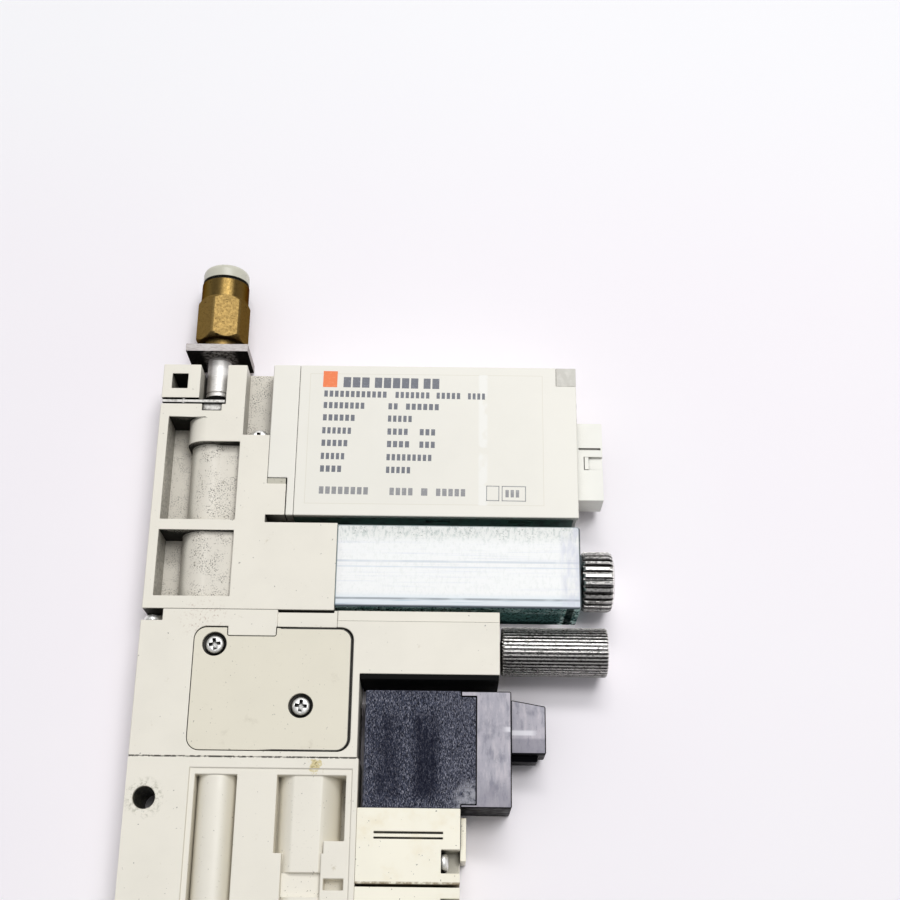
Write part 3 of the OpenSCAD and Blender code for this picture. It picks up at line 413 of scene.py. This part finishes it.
def mark_lower_body(f, seam):
    """Dirt along the seam, a spot of old glue, painted shade inside the mounting hole, and grease round it.
    """
    crumbs = f.patches(0.7, 0.42, 0.52, rough=0.7, shift=41)
    f.tint(DIRT_AND_SHADE, 0.85, f.band("Y", seam - 0.1, seam + 0.1, 0.08), crumbs)
    glue = f.spot(GLUE_AT[0], seam + GLUE_AT[1], 0.7, 0.4, 3.2)
    f.tint(look(214, 198, 138), 0.85, glue, f.upward())
    crust = f.spot(CRUST_AT[0], seam + CRUST_AT[1], 0.35, 0.4, 2.6)
    f.tint(look(130, 108, 60), 0.8, crust, f.patches(0.3, 0.5, 0.6, shift=61), f.upward())
    # Painted shade inside the mounting hole
    f.tint(CREVICE_SHADE, 0.95, f.spot(0, 0, HOLE_RIM, 0.1), f.before("Z", body_t - 0.7, body_t - 0.3))
    grease = f.patches(0.6, 0.46, 0.66, rough=0.7, shift=51)
    f.tint(look(150, 148, 126), 0.6, f.spot(0, 0, HOLE_RIM, 1.6, 1.6), grease)


def body_plastic():
    seam = corners("lower_body")[1].y
    foot = corners("upper_body")[0].y
    f = moulded("body_plastic", look(242, 237, 224), pocket_dirt_and_shade=0, gap_shade=0)
    # Painted shade in the narrow gaps
    f.tint(CREVICE_SHADE, 0.85, f.crevice(*GAP), f.after("Y", *beside(seam, SEAM_SPARED), 0.25))
    soil_and_shade_pockets(f, f.after("Y", foot - FADE, foot))
    # Painted shade on the lower body's slopes that face right
    f.tint(look(204, 197, 178), 0.6, f.facing("X", 0.2, 0.7), f.before("Y", seam - FADE, seam))
    smear_front(f, foot)
    mark_lower_body(f, seam)
    return f.done()


PLATE_CORNER = 1.9
PLATE_GAP = 0.14  # width of the painted shade line round the cover plate
PLATE_GAP_FROM = (-14.0, -11.0)  # where the line starts to show, from the plate's right side


def plate_plastic():
    low, high = corners("cover_plate")
    f = moulded("plate_plastic", look(234, 228, 210), mottle=0.35)
    f.tint(look(205, 197, 178), 0.35, f.patches(3.0, 0.6, 0.74, detail=4, rough=0.65, shift=21))
    f.tint(DIRT_AND_SHADE, 0.5, specks(f, 0.35, 0.72, shift=23))
    right = f.after("X", *beside(high.x, PLATE_GAP_FROM))
    # Painted shade in the gap round the plate's right part
    f.tint(CREVICE_SHADE, 0.95, f.rim(low, high, PLATE_CORNER, PLATE_GAP), right, f.patches(1.5, 0.3, 0.4, shift=25))
    return f.done()


SWITCH_ROUGH = 0.36
FILM_LEFT, FILM_RIGHT = 1.7, 40.3  # both from the left side of the switch case
FILM_FOOT, FILM_TOP = 2.0, 1.5  # in from its lower and upper side
FILM_RIM = 0.12
FILM_SOFT = 0.05
RUB_LEFT, RUB_RIGHT = 30.0, 30.9


def switch_plastic():
    """Smooth cream plastic; the case carries a clear label film whose rim just shows."""
    low, high = corners("switch_case")
    f = moulded("switch_plastic", look(243, 240, 230), roughness=SWITCH_ROUGH, mottle=0.3)

    def film_inside(rim):
        wide = f.band("X", low.x + FILM_LEFT + rim, low.x + FILM_RIGHT - rim, FILM_SOFT)
        return f.overlap(wide, f.band("Y", low.y + FILM_FOOT + rim, high.y - FILM_TOP - rim, FILM_SOFT))

    film = f.overlap(film_inside(0.0), f.upward())
    rim = f.math("SUBTRACT", film, f.overlap(film, film_inside(FILM_RIM)))
    f.tint(look(226, 221, 205), 0.55, rim)
    f.rough(f.math("SUBTRACT", SWITCH_ROUGH, f.math("MULTIPLY", film, 0.08)))
    rub = f.band("X", low.x + RUB_LEFT, low.x + RUB_RIGHT, 0.5)
    f.tint(look(250, 249, 244), 0.7, rub, film, f.patches(3.0, 0.4, 0.55, detail=2))
    return f.done()


def lip_plastic():
    f = moulded("lip_plastic", look(196, 192, 176), mottle=0.3, pocket_dirt_and_shade=0.2, gap_shade=0.3)
    f.tint(GRIME, 0.5, specks(f, 0.5, 0.62, shift=6))
    return f.done()


def socket_plastic():
    return moulded("socket_plastic", look(244, 243, 235), mottle=0.2, pocket_dirt_and_shade=0.5, gap_shade=0.4).done()


def window_plastic():
    f = moulded("window_plastic", look(208, 205, 196), roughness=0.22)
    f.tint(look(224, 221, 213), 0.7, f.patches(1.2, 0.45, 0.65, shift=2))
    return f.done()


VALVE_SPARED = (0.5, 1.0)  # from the valve's foot; below it the gaps hold less than a third of the painted shade
STAIN = (-0.15, 0.2)


def valve_plastic():
    """Warm plastic with a brown stain along the joint with the next valve."""
    foot = corners("valve_upper")[0].y
    f = moulded("valve_plastic", look(255, 250, 232), pocket_dirt_and_shade=0.5, gap_shade=0)
    # Painted shade in the narrow gaps, weaker below the valve's foot
    f.tint(CREVICE_SHADE, 0.85, f.crevice(*GAP), f.after("Y", *beside(foot, VALVE_SPARED), 0.3))
    f.tint(look(236, 221, 184), 0.5, f.patches(4.5, 0.5, 0.8, detail=4, shift=8))
    f.tint(DIRT_AND_SHADE, 0.6, specks(f, 0.5, 0.72, shift=4))
    stain = f.patches(1.4, 0.3, 0.6, detail=4, rough=0.7, shift=11)
    f.tint(look(126, 104, 66), 0.85, f.band("Y", *beside(foot, STAIN), 0.25), stain)
    return f.done()


def collar_plastic():
    return moulded("collar_plastic", look(208, 206, 190), roughness=0.3, mottle=0.6).done()


def button_plastic():
    return moulded("button_plastic", look(150, 155, 158)).done()


def override_plastic():
    return moulded("override_plastic", look(206, 138, 58), roughness=0.25).done()


def element_plastic():
    f = Finish("element_plastic", look(252, 252, 250), 0.6)
    f.tint(look(236, 238, 238), 0.6, f.patches(0.5, 0.5, 0.8, detail=2))
    f.relief(f.noise(0.2), 0.02)
    return f.done()


def switch_base():
    # Dark green edge of the switch's board: its darkness is painted shade and its green a painted reflection
    # of the case
    f = Finish("switch_base", look(52, 78, 68), 0.5)
    f.tint(look(22, 30, 28), 0.8, f.patches(1.6, 0.45, 0.7))
    f.relief(f.noise(0.3, 2), 0.02)
    return f.done()


def seal_rubber():
    f = Finish("seal_rubber", look(12, 12, 12), 0.7)
    f.set("Specular IOR Level", 0.1)
    f.relief(f.noise(0.15, 2), 0.006)
    return f.done()


COIL_PALER = (-6.5, -3.5)  # from the right side
COIL_STREAKS = ((2.6, 4.4, 0.6), (8.4, 10.2, 0.8))  # start and end from the left side, and strength
STREAK_FOOT, STREAK_TOP = 2.6, -4.8  # from the lower and upper sides
SMUDGE_AT = (-0.6, 1.2)  # from the lower right corner


def coil_resin():
    """Sand-textured resin with fine upright streaks, darker where it was handled."""
    low, high = corners("coil_upper")
    f = Finish("coil_resin", look(66, 70, 86), 0.8, ior=1.2)
    f.tint(look(90, 92, 106), 0.5, f.after("X", *beside(high.x, COIL_PALER)))
    dark_grain = f.patches(0.13, 0.42, 0.58, detail=2, rough=0.8, stretch=(1, 3.6, 1), shift=7)
    f.tint(look(6, 8, 20), 0.9, dark_grain)
    f.tint(look(176, 176, 190), 0.7, f.patches(0.12, 0.5, 0.7, detail=2, rough=0.8, stretch=(1, 3.0, 1)))
    ragged = f.patches(1.6, 0.2, 0.55, detail=4, rough=0.7, stretch=(0.5, 2.2, 1), shift=3)
    tall = f.band("Y", low.y + STREAK_FOOT, high.y + STREAK_TOP, 2.4)
    for start, end, amount in COIL_STREAKS:
        f.tint(look(12, 15, 32), amount, f.band("X", low.x + start, low.x + end, 1.9), tall, ragged)
    smudge = f.spot(high.x + SMUDGE_AT[0], low.y + SMUDGE_AT[1], 1.2, 2.4, 3.0)
    f.tint(look(176, 176, 184), 0.75, smudge, f.patches(0.8, 0.3, 0.6, shift=9))
    f.relief(f.noise(0.2, rough=0.75, stretch=(1, 1.8, 1)), 0.012)
    return f.done()


CAP_TOP = (-1.8, -1.6)  # where the rubbed, dusty top with its painted sheen starts, from the upper face of the plug socket
CAP_LOW_SHADE = (-9.0, -6.0)  # the painted shade low on the cap, from the lower side of the plug socket
GLARE_SIDES = (-0.2, -2.5)  # from the left and right sides of the plug socket
GLARE_UP = (3.9, 4.3)  # from its lower side
SOCKET_FOOT = (3.0, 3.5)  # height of the painted shade beside the cap, from the socket's lower side


def cap_plastic():
    """Smooth dark plastic, rubbed and dusty on the sides that look up, which also carry a painted sheen, a
    painted glare and painted shade low down.
    """
    low, high = corners("plug_socket_upper")
    f = Finish("cap_plastic", look(8, 8, 12), 0.4, ior=1.35)
    top = f.overlap(f.upward(0.9, 0.99), f.after("Z", *beside(high.z, CAP_TOP)))
    f.gloss(top, 0.04, 0.3)
    # Painted sheen and dust lighten the top
    f.tint(look(180, 177, 187), 0.97, top)
    f.tint(look(200, 194, 202), 0.75, top, f.patches(3.6, 0.42, 0.7, rough=0.5))
    f.tint(look(132, 131, 144), 0.7, top, f.patches(2.8, 0.48, 0.75, detail=4, shift=9))
    # Lighter and darker streaks of dust and painted sheen
    streaks = f.noise(1.1, 4, 0.7, stretch=(0.6, 2.6, 1), shift=19)
    f.tint(look(206, 200, 206), 0.6, top, f.span(streaks, 0.5, 0.66))
    f.tint(look(140, 139, 152), 0.6, top, f.span(streaks, 0.34, 0.46, 1.0, 0.0))
    f.tint(look(100, 100, 110), 0.5, top, specks(f, 0.3, 0.7, shift=2))
    # Painted shade low on the cap
    f.tint(look(126, 124, 136), 0.45, top, f.band("Y", *beside(low.y, CAP_LOW_SHADE), 3.5))
    glare = f.band("X", low.x + GLARE_SIDES[0], high.x + GLARE_SIDES[1], 1.5)
    f.tint(look(240, 238, 244), 0.8, glare, f.band("Y", *beside(low.y, GLARE_UP), 0.35), top)
    # Painted shade beside the cap, below the socket
    socket_foot = f.before("Y", *beside(low.y, SOCKET_FOOT))
    f.tint(look(132, 130, 142), 0.6, f.after("X", low.x, low.x + 0.1), socket_foot, top)
    f.rough(f.patches(1.6, 0.35, 0.65, 0.28, 0.45, detail=4, shift=4))
    f.relief(f.noise(0.5), 0.004)
    return f.done()


# ---------- the clear case ----------

# Reflected lines on the front: distance from the upper side, width and grey level
CASE_LINES = ((6.0, 0.25, 214), (6.9, 0.12, 222), (12.1, 0.22, 134), (13.2, 0.16, 168))
# From the upper side of the front
SHOULDER_SHADE = (-3.2, -1.6)
SCRATCHES_GROW = (-3.4, -0.8)
PITS_GROW = (-3.6, -1.2)
# From its lower side
BLUE_FOOT = (1.3, 2.6)
DARK_EDGE = (0.26, 0.38)
# From its right end
CLOUDED_END = (-3.6, -2.4)
DARK_END = (-0.3, -0.16)
BRIGHT_TIP = (-3.4, -2.6)
DARK_BAR = (-2.2, -1.3)
# Height on the underside
STREAKS_FROM = (6.2, 7.0)
BLACK_UNTIL = (1.4, 2.4)


def color_case_underside(f, under, high):
    """Teal with dark grain, pale streaks of painted glints near the front, painted black shade low down and a
    bright tip of painted glints.
    """
    grain = specks(f, 0.24, 0.5, shift=3)
    f.tint(look(20, 34, 34), 0.8, f.inverse(f.upward(0.6, 0.95)), grain)
    f.tint(look(104, 150, 146), 1.0, under)
    # Pale streaks near the front: painted glints
    streaks = f.patches(0.5, 0.42, 0.6, detail=4, rough=0.7, stretch=(5, 1, 1), shift=33)
    f.tint(look(196, 222, 220), 0.8, under, f.after("Z", *STREAKS_FROM), streaks)
    f.tint(look(6, 16, 16), 0.92, under, grain)
    # Painted black shade low on the underside
    f.tint(look(6, 18, 18), 0.8, under, f.before("Z", *BLACK_UNTIL))
    # Painted glints at the tip
    bright = f.patches(0.8, 0.48, 0.55, rough=0.7, shift=13)
    f.tint(look(226, 255, 248), 0.95, under, f.after("X", *beside(high.x, BRIGHT_TIP)), bright)
    f.tint(look(8, 26, 24), 0.9, under, f.band("X", *beside(high.x, DARK_BAR), 0.3))


def color_case_front(f, front, lines, low, high):
    """White haze with long faint lines, a scratched shoulder above, a blue foot and dark edges."""
    f.tint(look(255, 255, 254), 1.0, front)
    f.tint(look(236, 238, 245), 0.6, front, lines)
    f.tint(look(246, 247, 243), 0.9, front, f.after("Y", *beside(high.y, SHOULDER_SHADE)))
    scratches = f.patches(0.7, 0.48, 0.6, detail=5, rough=0.8, stretch=(0.8, 1.8, 1), shift=15)
    f.tint(look(198, 206, 202), 0.8, front, f.after("Y", *beside(high.y, SCRATCHES_GROW), 0.2), scratches)
    shoulder = f.after("Y", *beside(high.y, PITS_GROW))
    scuffed = f.patches(2.4, 0.45, 0.6, detail=2, shift=44)
    pits = f.patches(0.3, 0.56, 0.62, detail=4, rough=0.8, stretch=(1.6, 0.8, 1), shift=8)
    f.tint(look(104, 118, 110), 0.85, front, shoulder, scuffed, pits)
    foot = f.before("Y", *beside(low.y, BLUE_FOOT))
    f.tint(look(236, 243, 248), 0.95, front, foot)
    f.tint(look(188, 205, 216), 0.8, front, foot, f.span(lines, 0.0, 0.6))
    for down, width, shade in CASE_LINES:
        y = high.y - down
        line = f.band("Y", y - width / 2, y + width / 2, 0.1)
        broken = f.patches(6.0, 0.3, 0.5, 0.5, 1.0, detail=2, shift=y)
        f.tint(look(shade, shade + 6, shade + 14), 0.75, front, line, broken)
    clouded = f.patches(1.6, 0.3, 0.65, rough=0.5, stretch=(0.7, 2.0, 1), shift=25)
    f.tint(look(212, 215, 230), 0.6, front, f.after("X", *beside(high.x, CLOUDED_END)), clouded)
    f.tint(look(110, 134, 140), 0.7, f.rim(low, high, 0.5, 0.16), front)
    lower_edge = f.before("Y", *beside(low.y, DARK_EDGE))
    end_edge = f.after("X", *beside(high.x, DARK_END))
    f.tint(look(26, 42, 54), 0.9, f.math("MAXIMUM", lower_edge, end_edge), f.upward(0.3, 0.6))


def let_light_in(f):
    """Rays towards the lamps pass straight through, so that what is inside stays lit."""
    clear = f.node("ShaderNodeBsdfTransparent")
    mix = f.node("ShaderNodeMixShader")
    f.link(f.node("ShaderNodeLightPath").outputs["Is Shadow Ray"], mix.inputs[0])
    f.link(f.shader.outputs[0], mix.inputs[1])
    f.link(clear.outputs[0], mix.inputs[2])
    f.link(mix.outputs[0], f.tree.nodes["Material Output"].inputs["Surface"])


def clear_case():
    """Clear case, hazed and scratched in front, teal through its thick edges."""
    low, high = corners("filter_case")
    f = Finish("clear_case", look(90, 136, 136), 0.14, ior=1.49)
    front = f.upward(0.6, 0.95)
    under = f.facing(*UNDERSIDE)
    lines = f.patches(0.55, 0.5, 0.7, detail=4, rough=0.7, stretch=(40, 0.7, 1), shift=5)
    color_case_underside(f, under, high)
    color_case_front(f, front, lines, low, high)
    hazed = f.math("ADD", f.math("MULTIPLY", front, 0.93), under)
    f.link(f.inverse(hazed, clamp=True), f.shader.inputs["Transmission Weight"])
    f.rough(f.math("ADD", f.span(lines, 0.0, 1.0, 0.14, 0.3), f.math("MULTIPLY", front, 0.2)))
    f.gloss(under, 0.3, 0.0)
    let_light_in(f)
    return f.done()


# ---------- metals ----------


def metal(name, color, roughness, grain, stretch=(1, 1, 1), edge=None):
    """Bare or plated metal with brushed grain and dull patches."""
    f = Finish(name, color, roughness, metallic=1.0)
    if edge:
        f.set("Specular Tint", (*edge, 1))
    f.tint(darker(color, 0.72), 0.8, f.patches(1.1, 0.45, 0.8, detail=4, rough=0.6, stretch=stretch))
    f.rough(f.patches(0.5, 0.3, 0.7, roughness - 0.08, roughness + 0.12, stretch=stretch, shift=2))
    f.relief(f.noise(0.1, 2, stretch=stretch), grain)
    return f


def screw_steel():
    f = metal("screw_steel", look(250, 249, 246), 0.5, 0.0008)
    # Painted black shade in the cross recess and round the head
    f.tint(look(14, 12, 12), 0.97, f.crevice(0.7, 0.82, 0.5))
    return f.done()


def clip_steel():
    f = metal("clip_steel", look(206, 204, 200), 0.5, 0.0015)
    # Painted black shade on the sides that face the lower end, and in the creases
    f.tint(look(12, 11, 10), 0.95, f.facing(*UNDERSIDE))
    f.tint(CREVICE_SHADE, 0.95, f.crevice(0.8, 0.9, 0.5))
    f.tint(look(120, 116, 110), 0.6, f.patches(0.5, 0.5, 0.65, detail=4, rough=0.7, shift=4))
    return f.done()


FLANGE_FROM = (-1.9, -1.8)  # from the adapter's upper end
# Where a painted reflection of the stem lightens the flange's painted black underside
FLANGE_REFLECTION = (-2.0, 2.4)  # from the middle of the stem
STEM_SHADE = (-1.3, -0.7)
BARREL_FROM = (-3.25, -3.2)  # from the fitting's upper end


def nickel():
    """Plated adapter: a bright stem with painted shade on its left, and a dull stained flange with painted
    black shade underneath, lightened by a painted reflection of the stem, and painted shade in the creases.
    """
    low, high = corners("port_adapter")
    middle = (low.x + high.x) / 2
    f = metal("nickel", look(252, 250, 247), 0.62, 0.003, stretch=(1, 0.2, 1), edge=(0.4, 0.4, 0.4))
    flange = f.after("Y", *beside(high.y, FLANGE_FROM))
    f.tint(look(192, 187, 185), 0.95, flange)
    stains = f.patches(0.5, 0.46, 0.66, detail=4, rough=0.7, stretch=(2, 0.4, 1), shift=3)
    f.tint(look(160, 150, 148), 0.7, flange, stains)
    f.tint(look(140, 130, 124), 0.55, f.before("X", *beside(middle, STEM_SHADE)), f.inverse(flange))
    # A painted reflection of the stem on the flange's underside
    lightened = f.patches(0.8, 0.4, 0.6, detail=4, rough=0.7, shift=8)
    lightened = f.overlap(f.band("X", *beside(middle, FLANGE_REFLECTION), 1.0), lightened)
    outside_reflection = f.inverse(f.math("MULTIPLY", lightened, 0.7))
    # Painted black shade under the flange
    f.tint(look(14, 12, 12), 0.97, f.facing("Y", 0.4, 0.85, -1), flange, outside_reflection)
    # Painted shade in the creases
    f.tint(look(18, 16, 15), 0.9, f.crevice(0.5, 0.75, 0.4))
    return f.done()


def brass():
    """Brass fitting: a darker, smoother barrel over a hexagon with painted shade on its lower, right and left
    sides and in its creases.
    """
    top = corners("fitting_body")[1].y
    f = metal("brass", look(157, 131, 80), 0.56, 0.004, stretch=(1.6, 0.15, 1.6), edge=(0.3, 0.25, 0.15))
    barrel = f.after("Y", *beside(top, BARREL_FROM))
    f.tint(look(112, 92, 52), 0.9, barrel)
    f.tint(look(112, 86, 46), 0.6, f.patches(0.3, 0.5, 0.7, rough=0.7, shift=12))
    f.tint(look(50, 36, 18), 0.7, specks(f, 0.3, 0.66, shift=6))
    f.tint(look(34, 22, 12), 0.85, f.facing("Y", 0.35, 0.7, -1))
    f.tint(look(84, 62, 30), 0.55, f.facing("X", 0.3, 0.7))
    # Fainter painted shade on the left sides
    f.tint(look(90, 72, 44), 0.25, f.facing("X", 0.3, 0.7, -1))
    # Painted black shade in the creases
    f.tint(look(18, 13, 8), 0.95, f.crevice(1.0, 0.8, 0.4))
    dull = f.patches(0.5, 0.3, 0.7, 0.5, 0.64, shift=2)
    f.rough(f.math("SUBTRACT", dull, f.math("MULTIPLY", barrel, 0.22)))
    return f.done()


def turned_aluminium():
    return metal("turned_aluminium", look(205, 203, 200), 0.3, 0.003).done()


def contact_metal():
    return metal("contact_metal", look(222, 212, 180), 0.25, 0.002).done()


def knob_nickel():
    """Straight knurls with bright, broken crests, dirt and painted black shade between them, and painted
    shade on their lower side; the ends are smooth.
    """
    f = Finish("knob_nickel", look(255, 252, 248), 0.3, metallic=1.0)
    side = f.inverse(f.facing("X", 0.7, 0.9))
    crumbs = f.overlap(f.noise(0.22, 4, 0.8, stretch=(2.0, 1, 1)), side)
    # Painted black shade between the knurls
    f.tint(look(6, 5, 5), 0.98, f.crevice(0.7, 0.94, 0.6))
    f.tint(look(24, 21, 20), 0.88, f.span(crumbs, 0.52, 0.6))
    # Painted shade on the lower side
    f.tint(look(40, 36, 36), 0.6, f.facing("Y", 0.1, 0.8, -1), side)
    pits = f.patches(0.3, 0.48, 0.54, rough=0.8, stretch=(1.4, 1, 1), shift=4)
    f.tint(look(34, 30, 30), 0.7, pits, f.facing("Y", 0.05, 0.5))
    f.rough(f.span(crumbs, 0.35, 0.6, 0.24, 0.5))
    f.relief(crumbs, 0.05)
    return f.done()


# ---------- the nodes' materials ----------

# One for each material slot of the record, made by the function with the slot's name
MATERIALS = (
    body_plastic,
    plate_plastic,
    screw_steel,
    clip_steel,
    nickel,
    seal_rubber,
    brass,
    turned_aluminium,
    collar_plastic,
    switch_plastic,
    switch_base,
    window_plastic,
    socket_plastic,
    contact_metal,
    button_plastic,
    clear_case,
    element_plastic,
    knob_nickel,
    valve_plastic,
    override_plastic,
    coil_resin,
    cap_plastic,
)


def dress_nodes():
    """Give every node the material of its slot."""
    made = {make.__name__: make() for make in MATERIALS}
    for part in frame["record"]["subparts"]:
        data = nodes[part["node"]].data
        data.materials.clear()
        data.materials.append(made[part["material_slot"]])


# ---------- rounded edges ----------

WELD = 0.0005
FLAT_ANGLE = 0.4
EDGE_ANGLE = 32
EDGE_STEPS = 2
FACE_WEIGHT = 100  # large faces keep their own shading up to the rounded edge
# Radius of the moulded or deburred edges
EDGES = {
    "body_plastic": 0.14,
    "plate_plastic": 0.08,
    "switch_plastic": 0.18,
    "socket_plastic": 0.04,
    "valve_plastic": 0.12,
    "cap_plastic": 0.26,
    "coil_resin": 0.16,
    "clear_case": 0.12,
    "window_plastic": 0.08,
    "clip_steel": 0.05,
    "nickel": 0.06,
    "brass": 0.05,
}
PLAIN_EDGE = 0.03
CLAMPED = ("knob_nickel",)  # fine ridges, where an edge may not reach past its neighbour


def round_edges():
    """Weld the imported faces and round every sharp edge a little."""
    for part in frame["record"]["subparts"]:
        piece = nodes[part["node"]]
        for face in piece.data.polygons:
            face.use_smooth = True
        weld = piece.modifiers.new("weld", "WELD")
        weld.merge_threshold = WELD * MM
        flats = piece.modifiers.new("flats", "DECIMATE")
        flats.decimate_type = "DISSOLVE"
        flats.angle_limit = math.radians(FLAT_ANGLE)
        bevel = piece.modifiers.new("bevel", "BEVEL")
        bevel.width = EDGES.get(part["material_slot"], PLAIN_EDGE) * MM
        bevel.segments = EDGE_STEPS
        bevel.limit_method = "ANGLE"
        bevel.angle_limit = math.radians(EDGE_ANGLE)
        bevel.use_clamp_overlap = part["material_slot"] in CLAMPED
        bevel.harden_normals = True
        normals = piece.modifiers.new("normals", "WEIGHTED_NORMAL")
        normals.weight = FACE_WEIGHT
        normals.keep_sharp = False


# ---------- pieces of the scene's own ----------


def slab(bm, x0, y0, x1, y1, z0, z1):
    """Add a thin rectangular slab, in millimetres."""
    made = bmesh.ops.create_cube(bm, size=1)
    centre = Vector(((x0 + x1) / 2, (y0 + y1) / 2, (z0 + z1) / 2))
    size = Vector((x1 - x0, y1 - y0, z1 - z0))
    for vertex in made["verts"]:
        vertex.co = Vector(vertex.co[i] * size[i] + centre[i] for i in range(3)) * MM


def object_from(bm, name, material):
    mesh = bpy.data.meshes.new(name)
    bm.to_mesh(mesh)
    bm.free()
    made = bpy.data.objects.new(name, mesh)
    scene.collection.objects.link(made)
    mesh.materials.append(material)
    return made


def add_to_switch(bm, name, material):
    """Make a piece that rides on the unit and belongs to the switch."""
    piece = object_from(bm, name, material)
    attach(piece, "unit")


# ---------- print on the switch ----------

INK_LIFT = 0.012
LABEL_IN, LABEL_DOWN = 3.85, 3.0  # from the case's top left corner to the middle of the title's start
LABEL_TURN = -0.5  # degrees: the print sits a little askew
MARK_GAP = 0.3
# Rows of plain marks: distance below the title, height, pitch, then start and length of each group
TITLE = (0.0, 1.85, 1.55, [(3.4, 4.6), (8.6, 7.5), (16.7, 2.9)])
FOOT_ROW = (19.1, 1.25, 0.98, [(0.3, 8.2), (11.7, 4.0), (16.8, 1.3), (19.2, 5.0), (30.4, 2.5)])
# The rows between them share one height and pitch
LINE_H, LINE_PITCH = 1.1, 0.88
LINES = [
    (2.13, [(0.3, 10.6), (12.1, 5.9), (18.9, 4.2), (24.1, 3.1)]),
    (4.2, [(0.3, 7.0), (11.0, 1.8), (13.9, 5.7)]),
    (6.4, [(0.3, 5.5), (11.0, 4.2)]),
    (8.7, [(0.3, 5.0), (11.0, 3.6), (16.3, 2.8)]),
    (10.9, [(0.3, 4.5), (11.0, 3.9), (16.3, 2.8)]),
    (13.2, [(0.3, 4.1), (11.0, 7.6)]),
    (15.4, [(0.3, 3.7), (11.0, 4.2)]),
]
FRAMES = [(27.3, 2.1), (29.8, 3.9)]  # start and length of the two thin frames beside the foot row
FRAME_H = 2.6
FRAME_LINE = 0.13
ORANGE = (0, -0.95, 2.35, 1.95)  # left, lower, right and upper side of the patch before the title


def ink(name, color):
    f = Finish(name, color, 0.4)
    # Rubbed-off ink shows paler in patches
    lightened = tuple(min(1.0, c * 1.5 + 0.06) for c in color)
    f.tint(lightened, 0.7, f.patches(0.35, 0.5, 0.72, rough=0.7))
    return f.done()


def print_switch():
    """Plain marks in rows, two thin frames and an orange patch."""
    low, high = corners("switch_case")
    left, top = low.x + LABEL_IN, high.y - LABEL_DOWN
    askew = Matrix.Rotation(math.radians(LABEL_TURN), 3, "Z")

    def patch(bm, x0, y0, x1, y1):
        slab(bm, left + x0, top + y0, left + x1, top + y1, body_t - INK_LIFT, body_t + INK_LIFT)

    def row_of(bm, down, height, pitch, groups):
        for start, length in groups:
            count = round(length / pitch)
            for i in range(count):
                x = start + length * i / count
                patch(bm, x, -down - height / 2, x + length / count - MARK_GAP, -down + height / 2)

    def frame_round(bm, x0, y0, x1, y1):
        patch(bm, x0, y0, x1, y0 + FRAME_LINE)
        patch(bm, x0, y1 - FRAME_LINE, x1, y1)
        patch(bm, x0, y0, x0 + FRAME_LINE, y1)
        patch(bm, x1 - FRAME_LINE, y0, x1, y1)

    def put(bm, name, material):
        bmesh.ops.rotate(bm, cent=(left * MM, top * MM, 0), matrix=askew, verts=bm.verts)
        add_to_switch(bm, name, material)

    dark = bmesh.new()
    row_of(dark, *TITLE)
    for down, groups in LINES:
        row_of(dark, down, LINE_H, LINE_PITCH, groups)
    put(dark, "switch_print", ink("grey_ink", look(108, 111, 120)))
    faint = bmesh.new()
    row_of(faint, *FOOT_ROW)
    middle = -FOOT_ROW[0]
    for start, length in FRAMES:
        frame_round(faint, start, middle - FRAME_H / 2, start + length, middle + FRAME_H / 2)
    put(faint, "switch_print_foot", ink("pale_ink", look(146, 146, 148)))
    mark = bmesh.new()
    patch(mark, *ORANGE)
    put(mark, "switch_mark", ink("orange_ink", look(249, 127, 68)))


# ---------- lip of the bracket ----------

LIP_SIZE = (2.95, 0.98, 0.3)
LIP_AT = (0.05, 5.28)  # from the lower left corner of the bracket
LIP_DOWN = 0.1  # below the front face


def add_lip():
    """The bracket's thin lip over the hook, just below the front face."""
    foot = corners("switch_bracket")[0]
    x, y, top = foot.x + LIP_AT[0], foot.y + LIP_AT[1], body_t - LIP_DOWN
    bm = bmesh.new()
    slab(bm, x, y, x + LIP_SIZE[0], y + LIP_SIZE[1], top - LIP_SIZE[2], top)
    add_to_switch(bm, "bracket_lip", lip_plastic())


# ---------- floor ----------

FLOOR_DROP = 0.02
FLOOR_HALF = 6000
FLOOR_T = 1
PAINT_COOLS = (80, 150)  # Y between which the paint gets cooler, past the upper end of the unit


def floor_paint():
    f = Finish("floor_paint", look(250, 245, 250), 0.5)
    f.tint(look(251, 247, 251), 1.0, f.patches(70, 0.35, 0.7, detail=2))
    f.tint(look(251, 251, 253), 0.8, f.after("Y", *PAINT_COOLS))
    return f.done()


def make_floor():
    bm = bmesh.new()
    slab(bm, -FLOOR_HALF, -FLOOR_HALF, FLOOR_HALF, FLOOR_HALF, -FLOOR_DROP - FLOOR_T, -FLOOR_DROP)
    floor = object_from(bm, "floor", floor_paint())


make_camera()
make_lights()
make_world()
make_floor()
dress_nodes()
round_edges()
print_switch()
add_lip()
scene.view_settings.view_transform = "Standard"
